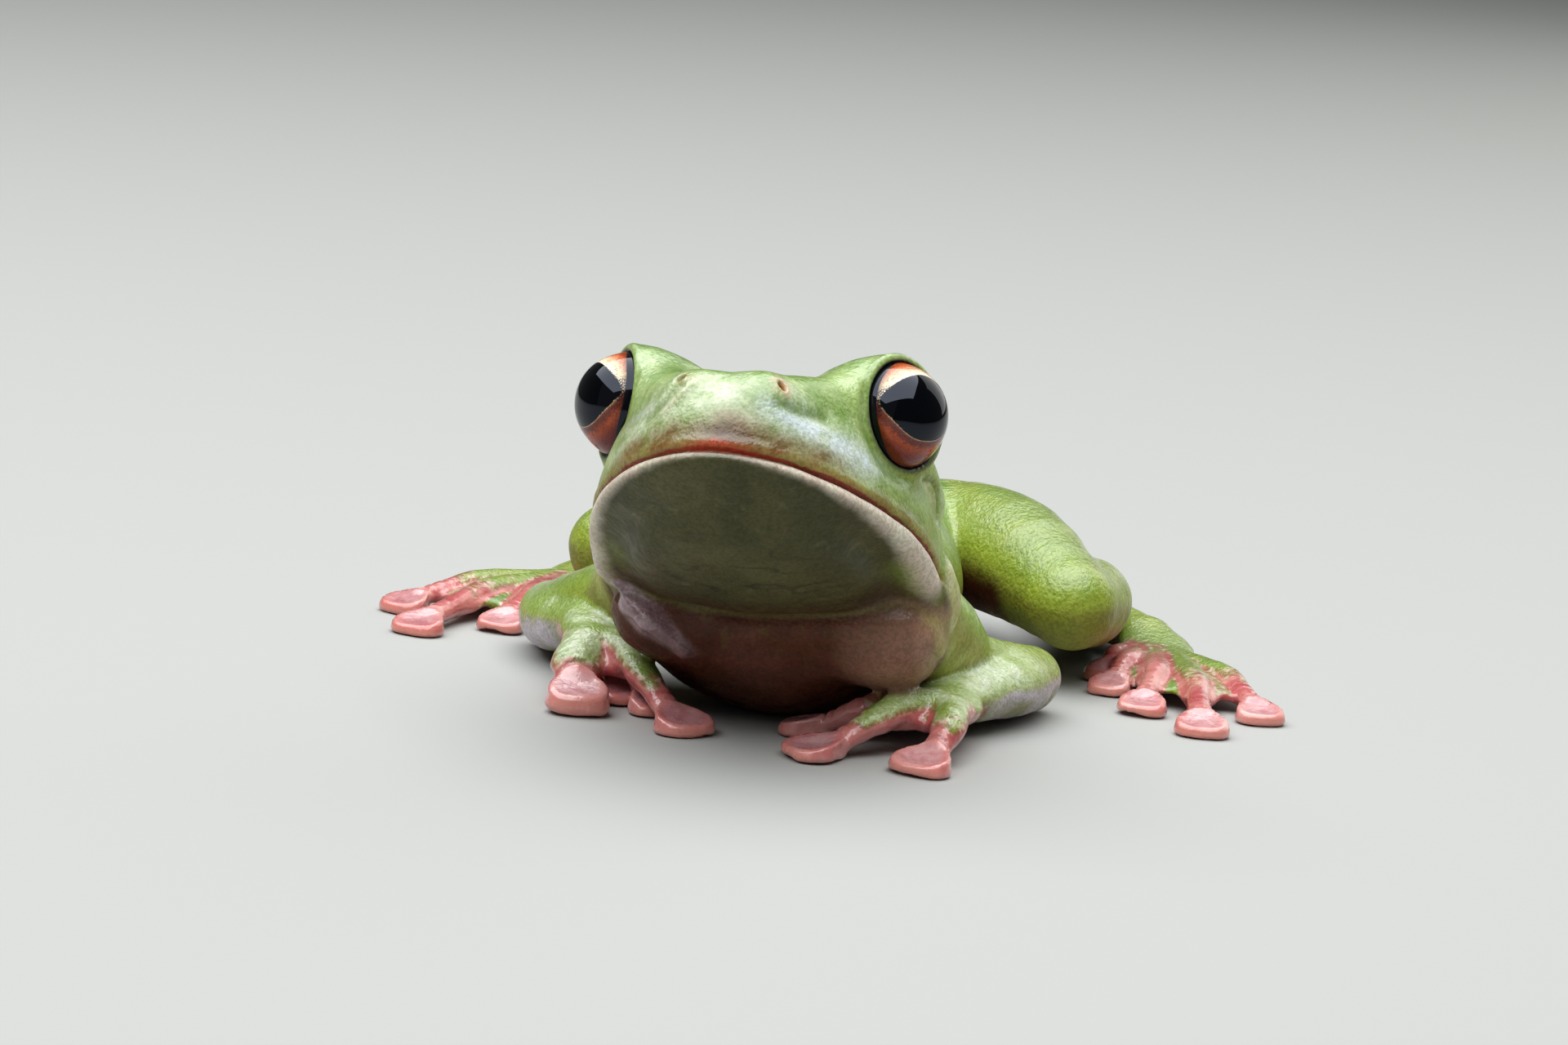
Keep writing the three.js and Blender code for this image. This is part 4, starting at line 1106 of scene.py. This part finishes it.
# The throat's olive, darkened well below its own colour as painted shade.
SHADED_THROAT = ("broad", 0.35, 0.65, "454426", "5b5834")
THROAT_COATS = [
    ("", ("streak", 0.55, 0.7, 0, 0.4), "6f6c4a"),
    ("throat_edge", ("cloud", 0.45, 0.6, 0, 0.8), "74822e"),
    ("throat_edge throat_edge", ("patch", 0.5, 0.6, 0, 0.9), "8fa63a"),
    # painted shade: darker brown on the lower throat
    ("low", ("streak", 0.3, 0.7, 0.9, 0.55), "4a301d"),
]
# The chest's reddish brown, darkened below its own colour as painted shade.
SHADED_CHEST = ("broad", 0.35, 0.65, "471b0e", "64351d")
CHEST_COATS = [
    ("", ("cloud", 0.48, 0.64, 0, 0.4), "7d4a40"),
    ("", ("streak", 0.56, 0.66, 0, 0.35), "6b5a2e"),
]
CREAM = ("patch", 0.35, 0.7, "ece3d2", "d8c2b4")
SKIN_COATS = [
    ("dorsal", 1, "leaf"),
    ("yellow", ("cloud", 0.4, 0.6, 0.45, 0.75), "9ba83a"),
    # painted highlight: pale mint patches on the upper sides of the hands
    ("hands dorsal", ("cloud", 0.42, 0.58, 0.1, 0.8), "cbd9b2"),
    # painted highlight: wet white glints on the backs of the hands
    ("painted_glints", ("cloud", 0.48, 0.58, 0, 1), "e2e4da"),
    # painted highlight: lighter patches over the brows
    ("brow", ("patch", 0.36, 0.58, 0.3, 0.85), "b9cd94"),
    ("under_eye", ("cloud", 0.45, 0.64, 0, 0.4), "94b458"),
    ("pale", ("broad", 0.3, 0.5, 0.6, 0.9), ("patch", 0.36, 0.62, "769a37", "a0ba66")),
    # pale skin of the snout, whitened further where a painted highlight falls
    ("muzzle", ("patch", 0.34, 0.56, 0.15, 0.85), "d6dcc2"),
    ("muzzle", ("streak", 0.52, 0.64, 0, 0.4), "8aa84c"),
    # painted reflection: bluish-white streaks of sky on the snout
    ("sky", ("streak", 0.36, 0.56, 0.35, 1), "dbe6ec"),
    # painted shade: darker green in the valleys on the snout
    ("groove", 0.6, "6f8c38"),
    ("crest", ("patch", 0.35, 0.6, 0.1, 0.5), "dccfb6"),
    ("leafy", ("patch", 0.3, 0.6, 0.95, 0.65), "6f8634"),
    ("tan", ("cloud", 0.42, 0.6, 0.9, 0.5), "937a50"),
    ("tan", ("blot", 0.44, 0.56, 0.1, 0.9), "765828"),
    # painted shade: dark brown over the middle of the mouth
    ("peak_shade", ("patch", 0.3, 0.6, 0.95, 0.7), "573a20"),
    # painted shade: the darkened throat colour
    ("throat", 1, "under"),
    # painted shade: the darkened chest colour on the underside
    ("belly", 1, "chest"),
    ("breast", ("cloud", 0.35, 0.6, 0.95, 0.6), "b58a74"),
    # the lilac fold under the arm, with lighter streaks that are painted highlight
    ("flap", 0.8, ("streak", 0.4, 0.65, "94707a", "b99aa6")),
    # yellow-green sides, lightened in part as painted light
    ("flank", 0.9, ("cloud", 0.4, 0.6, "a3a83c", "c6ca6e")),
    # painted shade: dark lines in the throat's wrinkles
    ("wrinkle", 0.7, "2a2616"),
    # painted shade: dark brown in the throat-chest creases and folds
    ("crease", 0.4, "43291f"),
    ("lobe", 0.85, ("patch", 0.35, 0.6, "c3c27a", "ebe4c0")),
    ("white", ("patch", 0.25, 0.5, 0.4, 0.9), "d6c9da"),
    ("ear", 0.45, "8f8c3c"),
    ("ear_edge", 0.5, "5b6a22"),
    ("toes", 1, ("patch", 0.35, 0.65, "b64e50", "cf827c")),
    ("bronze", ("glint", 0.5, 0.6, 0, 1), "86603c"),
    ("bronze", ("glint", 0.48, 0.4, 0, 1), "d9b9b0"),
    ("disc", 1, ("patch", 0.3, 0.7, "c76a66", "dc9c96")),
    ("disc_top", 0.7, ("streak", 0.35, 0.65, "b4747d", "d5a6ab")),
    ("disc_ball", 0.7, "e08a7a"),
    ("lip below_edge", 1, "lip_tone"),
    ("lips glow", 0.5, "b8603e"),
    ("lips mouth_line", ("patch", 0.25, 0.55, 0.75, 1), "line_tone"),
    ("blush", ("streak", 0.35, 0.6, 0.6, 0.9), "ad3d24"),
    ("rim", ("streak", 0.35, 0.6, 0.25, 0.8), "d29a8a"),
    ("pit", 1, "cf8626"),
    ("lidband", 0.75, "5e6545"),
    ("lid", 1, "0b0b0d"),
]


def name_lip_shares(m):
    """The lips' edges are cut here, from the height over the mouth line, so that they stay sharp."""
    over = m.scaled(m.share("over"), 10.0, -5.0)
    over = m.math("ADD", over, m.strewn("streak", 0.3, 0.7, -0.07, 0.07))
    shadow = m.times(m.share("dim"), m.spread(over, -1.0, -0.3, 0.45, 0.95))
    m.named["lip_tone"] = m.mix(shadow, m.tone(CREAM), srgb("6a4634"))
    m.named["below_edge"] = m.spread(over, -0.04, -0.16)
    glow = m.times(m.spread(m.gap(over, 0.3), 0.75, 0.1), m.spread(over, -0.1, 0.02))
    m.named["glow"] = m.times(glow, m.share("red"))
    half_width = m.scaled(m.share("red"), 0.16, 0.05)
    m.named["mouth_line"] = m.spread(m.math("SUBTRACT", m.gap(over, 0.08), half_width), 0.07, -0.04)
    m.named["line_tone"] = m.mix(m.share("dim"), srgb("8e3826"), srgb("b93722"))


def skin_colour(m):
    # Painted highlight: white glints strewn over the backs of the hands.
    painted_glints = m.strewn("glint", 0.5, 0.62, 0, 0.4)
    m.named["painted_glints"] = m.times(m.times(m.share("hands"), m.share("dorsal")), painted_glints)
    speckle = m.math("SUBTRACT", m.noises["glint"], 0.5)
    m.named["toes"] = m.spread(m.scaled(speckle, 0.8, m.share("pink")), 0.1, 0.85)
    m.named["bronze"] = m.spread(m.gap(m.share("pink"), 0.45), 0.4, 0.1, 0, 0.7)
    name_lip_shares(m)
    m.named["leaf"] = m.laid(m.tone(LEAF), LEAF_COATS)
    m.named["under"] = m.laid(m.tone(SHADED_THROAT), THROAT_COATS)
    m.named["chest"] = m.laid(m.tone(SHADED_CHEST), CHEST_COATS)
    c = m.laid(srgb("97a03a"), SKIN_COATS)
    c = m.shaded(m.strewn("fine", 0.3, 0.7, 0.0, 0.22), c, (0.55, 0.6, 0.5))
    dots = m.times(m.strewn("granule", 0.56, 0.42, 0.0, 0.42), m.math("SUBTRACT", 1.0, m.share("pink")))
    return m.shaded(dots, c, (0.4, 0.48, 0.3))


def skin_material():
    m = Nodes("frog_skin", SKIN_NOISES)
    m.put(m.shader.inputs["Base Color"], skin_colour(m))
    dull = m.math("MAXIMUM", m.times(m.share("throat"), 0.16), m.times(m.share("belly"), 0.1))
    wet = m.math("SUBTRACT", dull, m.times(m.share("pink"), 0.12))
    m.put(m.shader.inputs["Roughness"], m.math("ADD", m.strewn("fine", 0.3, 0.7, 0.3, 0.5), wet))
    open_sky = m.math("MAXIMUM", m.math("MAXIMUM", m.share("gloss"), m.share("pink")), m.share("flap"))
    m.put(m.shader.inputs["Specular IOR Level"], m.scaled(open_sky, 0.35, 0.2))
    m.put(m.shader.inputs["Coat Weight"], m.scaled(open_sky, 0.75, 0.1))
    m.shader.inputs["Coat Roughness"].default_value = 0.1
    m.shader.inputs["Subsurface Weight"].default_value = 0.12
    m.shader.inputs["Subsurface Radius"].default_value = (1.0, 0.45, 0.25)
    m.shader.inputs["Subsurface Scale"].default_value = 0.0012
    height = m.times(m.cells(m.where, 3600), -0.35)
    height = m.scaled(m.cells(m.where, 1500, smooth=0.4), -0.6, height)
    for name, share in (("fine", 0.35), ("pebble", 0.45), ("granule", 0.6)):
        height = m.scaled(m.noises[name], share, height)
    strength = m.scaled(m.share("yellow"), 0.35, 0.55)
    strength = m.scaled(m.share("pink"), -0.3, strength)
    grain = m.node("ShaderNodeBump", Strength=strength, Distance=0.00014, Height=height).outputs[0]
    m.put(m.shader.inputs["Normal"], grain)
    m.put(m.shader.inputs["Coat Normal"], grain)
    return m.material


skin.data.materials.append(skin_material())


# ---------- eyes


EYE_RINGS, EYE_TURNS = 96, 160
EYE_NOISES = {
    "mottle": (1.5, 5, 0.7, 0.6),
    "fleck": (4.2, 4, 0.65),
    "vein": (0.85, 3, 0.5, 1.1),
    "twig": (1.9, 2, 0.5, 1.4),
}
UPPER_IRIS = ((0, "fff4dc"), (0.2, "f8e3bd"), (0.45, "e9b896"), (0.75, "cf7448"), (1, "a8431c"))
LOWER_IRIS = ((0, "e8cfa6"), (0.045, "7a4438"), (0.22, "6f3420"), (0.5, "b4501f"), (1, "7c2a10"))


def eye_mesh(side, name):
    """An eyeball with its bulging cornea, in rings around its gaze."""
    gaze = eye_look(side, GAZE_TURN)
    turns = EYE_TURNS
    phi = np.linspace(0, 2 * math.pi, turns, endpoint=False)[:, None]
    upward = np.array([0, 0, 1.0])
    spokes = np.cos(phi) * np.cross(upward, gaze) + np.sin(phi) * upward
    directions = [gaze]
    for t in np.linspace(0, math.pi, EYE_RINGS + 1)[1:-1]:
        directions += list(math.cos(t) * gaze + math.sin(t) * spokes)
    directions.append(-gaze)
    d = np.array(directions)
    off = np.degrees(np.arccos(np.clip(d @ gaze, -1, 1)))
    radius = EYE_RADIUS + CORNEA_RISE * (1 - step(off, 20, 66))
    last = len(d) - 1
    steps = [(i, (i + 1) % turns) for i in range(turns)]
    faces = [(0, 1 + i, 1 + j) for i, j in steps]
    for a in range(1, last - turns, turns):
        faces += [(a + i, a + turns + i, a + turns + j, a + j) for i, j in steps]
    faces += [(last - turns + i, last, last - turns + j) for i, j in steps]
    look = eye_look(side, LID_TURN)
    azimuth = np.degrees(np.arctan2(side * d[:, 0], -d[:, 1]))
    elevation = np.degrees(np.arcsin(np.clip(d[:, 2], -1, 1)))
    nose = np.cross((0, 0, -side), look)  # the way to the nose, square to the look
    fore_share = (d @ nose) / np.maximum(np.sqrt(1 - np.minimum((d @ look) ** 2, 0.999)), 1e-3)
    values = {
        "eye_at": np.stack([(azimuth - 47) / 50, elevation / 50, d @ look], 1),
        "eye_ring": d @ look - 0.29 - 0.12 * step(fore_share, 0.1, 0.9),
        "eye_p": d * 10,
    }
    world = (d * radius[:, None] + (side * EYE_X, 0, 0)) @ HEAD.T + EYES_AT
    return add_mesh(name, world, faces, values)


def eye_material():
    m = Nodes("frog_eye", EYE_NOISES, "eye_p")
    mottle, fleck, vein, twig = m.noises.values()
    u, v = m.node("ShaderNodeSeparateXYZ", Vector=m.mask("eye_at", "Vector")).outputs[:2]
    v = m.scaled(u, -0.07, v)
    # The pupil is a wide oval with a pointed front tip.
    front = m.spread(u, 0.15, -1.0)
    height = m.scaled(front, -0.14, 0.72)
    uu = m.math("POWER", m.math("ABSOLUTE", u), m.scaled(front, -0.6, 2.1))
    power = m.scaled(front, -0.35, 2.0)
    vv = m.math("POWER", m.math("ABSOLUTE", m.math("DIVIDE", v, height)), power)
    jag = m.times(m.math("SUBTRACT", fleck, 0.5), m.scaled(front, 0.3, 0.03))
    r = m.math("ADD", m.math("ADD", uu, vv), jag)
    out = m.math("SUBTRACT", m.math("SQRT", m.math("MAXIMUM", r, 0.001)), 1.0)
    uneven = m.math("SUBTRACT", mottle, 0.5)
    top = m.ramp(m.scaled(uneven, 0.25, m.times(out, 1.35)), UPPER_IRIS)
    uneven = m.times(uneven, m.spread(out, 0.04, 0.2))
    low = m.ramp(m.scaled(uneven, 0.7, m.times(out, 1.6)), LOWER_IRIS)
    iris = m.mix(m.spread(v, -0.1, 0.1), low, top)
    iris = m.shaded(m.spread(mottle, 0.5, 0.66, 0, 0.6), iris, (1.7, 1.25, 0.85))
    iris = m.shaded(m.spread(fleck, 0.5, 0.36, 0, 0.65), iris, (0.42, 0.28, 0.24))
    iris = m.shaded(m.spread(m.gap(vein, 0.5), 0.022, 0.004, 0, 0.75), iris, (0.3, 0.14, 0.1))
    iris = m.shaded(m.spread(m.gap(twig, 0.5), 0.03, 0.006, 0, 0.45), iris, (0.35, 0.2, 0.16))
    tip = m.node("ShaderNodeCombineXYZ", X=m.math("ADD", u, 0.95), Y=v)
    from_tip = m.node("ShaderNodeVectorMath", Vector=tip.outputs[0])
    from_tip.operation = "LENGTH"
    freckle = m.times(m.spread(from_tip.outputs["Value"], 0.42, 0.14), m.spread(fleck, 0.56, 0.48))
    iris = m.mix(freckle, iris, srgb("120806"))
    edge = m.mask("eye_ring")
    iris = m.mix(m.spread(edge, 0.14, 0.0, 0, 0.55), iris, srgb("3a1408"))
    iris = m.mix(m.spread(edge, 0.022, 0.0), iris, srgb("06060a"))
    m.put(m.shader.inputs["Base Color"], m.mix(m.spread(r, 1.03, 0.97), iris, srgb("010102")))
    m.shader.inputs["Roughness"].default_value = 0.02
    m.shader.inputs["IOR"].default_value = 1.42
    m.shader.inputs["Specular Tint"].default_value = (0.72, 0.8, 1.0, 1)
    return m.material


EYE_SURFACE = eye_material()
for side, name in ((-1, "right"), (1, "left")):
    eye = eye_mesh(side, f"eyeball_{name}")
    eye.data.materials.append(EYE_SURFACE)
    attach(eye, "root")
    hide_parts(f"eye_{name}")

# ---------- studio and camera, in metres

# Area lights: name, place, width, power, tint.
LIGHTS = (
    ("top", (-0.08, -0.06, 0.6), 1.15, 13.5, (0.97, 0.985, 1)),
    ("rim", (0.35, 0.62, 0.34), 0.7, 1.6, (1, 0.98, 0.92)),
    ("front", (-0.35, -0.75, 0.35), 1.0, 0.3, (1, 1, 1)),
)
LIGHTS_AIM = Vector((0, -0.02, 0.015))
CAMERA_ANGLES = (12, 10, 5)  # to the frog's left, up and roll
CAMERA_DISTANCE = 0.48  # from the point between the eyes
PICTURE = (1920, 1280)
EYES_PIXEL = (932.5, 504.5)  # the point between the eyes in the picture
PIXEL = 0.00007  # how much of the frog's face one pixel shows


def plain(name, colour, roughness):
    m = Nodes(name)
    m.shader.inputs["Base Color"].default_value = (*srgb(colour), 1)
    m.shader.inputs["Roughness"].default_value = roughness
    return m.material


def studio():
    bpy.ops.mesh.primitive_plane_add(size=6, location=(0, 0, 0))
    floor = bpy.context.object
    floor.name = "floor"
    floor.data.materials.append(plain("floor", "a4a5a2", 0.8))
    world = bpy.data.worlds.new("studio")
    bpy.context.scene.world = world
    world.use_nodes = True
    sky = world.node_tree.nodes["Background"]
    sky.inputs[0].default_value = (0.7, 0.73, 0.72, 1)
    sky.inputs[1].default_value = 0.12
    for name, at, size, power, tint in LIGHTS:
        light = bpy.data.lights.new(name, "AREA")
        light.shape = "RECTANGLE"
        light.size, light.size_y = size, size * 0.9
        light.energy = power
        light.color = tint
        lamp = bpy.data.objects.new(name, light)
        bpy.context.collection.objects.link(lamp)
        lamp.location = at
        lamp.rotation_mode = "QUATERNION"
        lamp.rotation_quaternion = (Vector(at) - LIGHTS_AIM).to_track_quat("Z", "Y")


def front_camera():
    aside, lift, roll = (math.radians(v) for v in CAMERA_ANGLES)
    back = Vector((math.sin(aside) * math.cos(lift), -math.cos(aside) * math.cos(lift), math.sin(lift)))
    right = Vector((0, 0, 1)).cross(back).normalized()
    above = back.cross(right)
    r = right * math.cos(roll) + above * math.sin(roll)
    u = above * math.cos(roll) - right * math.sin(roll)
    eyes_right, eyes_down = [(at - size / 2) * PIXEL for at, size in zip(EYES_PIXEL, PICTURE)]
    data = bpy.data.cameras.new("camera")
    camera = bpy.data.objects.new("camera", data)
    bpy.context.collection.objects.link(camera)
    turn = Matrix((r, u, back)).transposed().to_4x4()
    turn.translation = Vector(to_row(EYES_AT)) - r * eyes_right + u * eyes_down + back * CAMERA_DISTANCE
    camera.matrix_world = turn
    data.sensor_width = 36
    data.lens = data.sensor_width * CAMERA_DISTANCE / (PICTURE[0] * PIXEL)
    data.clip_start, data.clip_end = 0.01, 20
    bpy.context.scene.camera = camera


studio()
front_camera()
bpy.context.scene.view_settings.view_transform = "Standard"
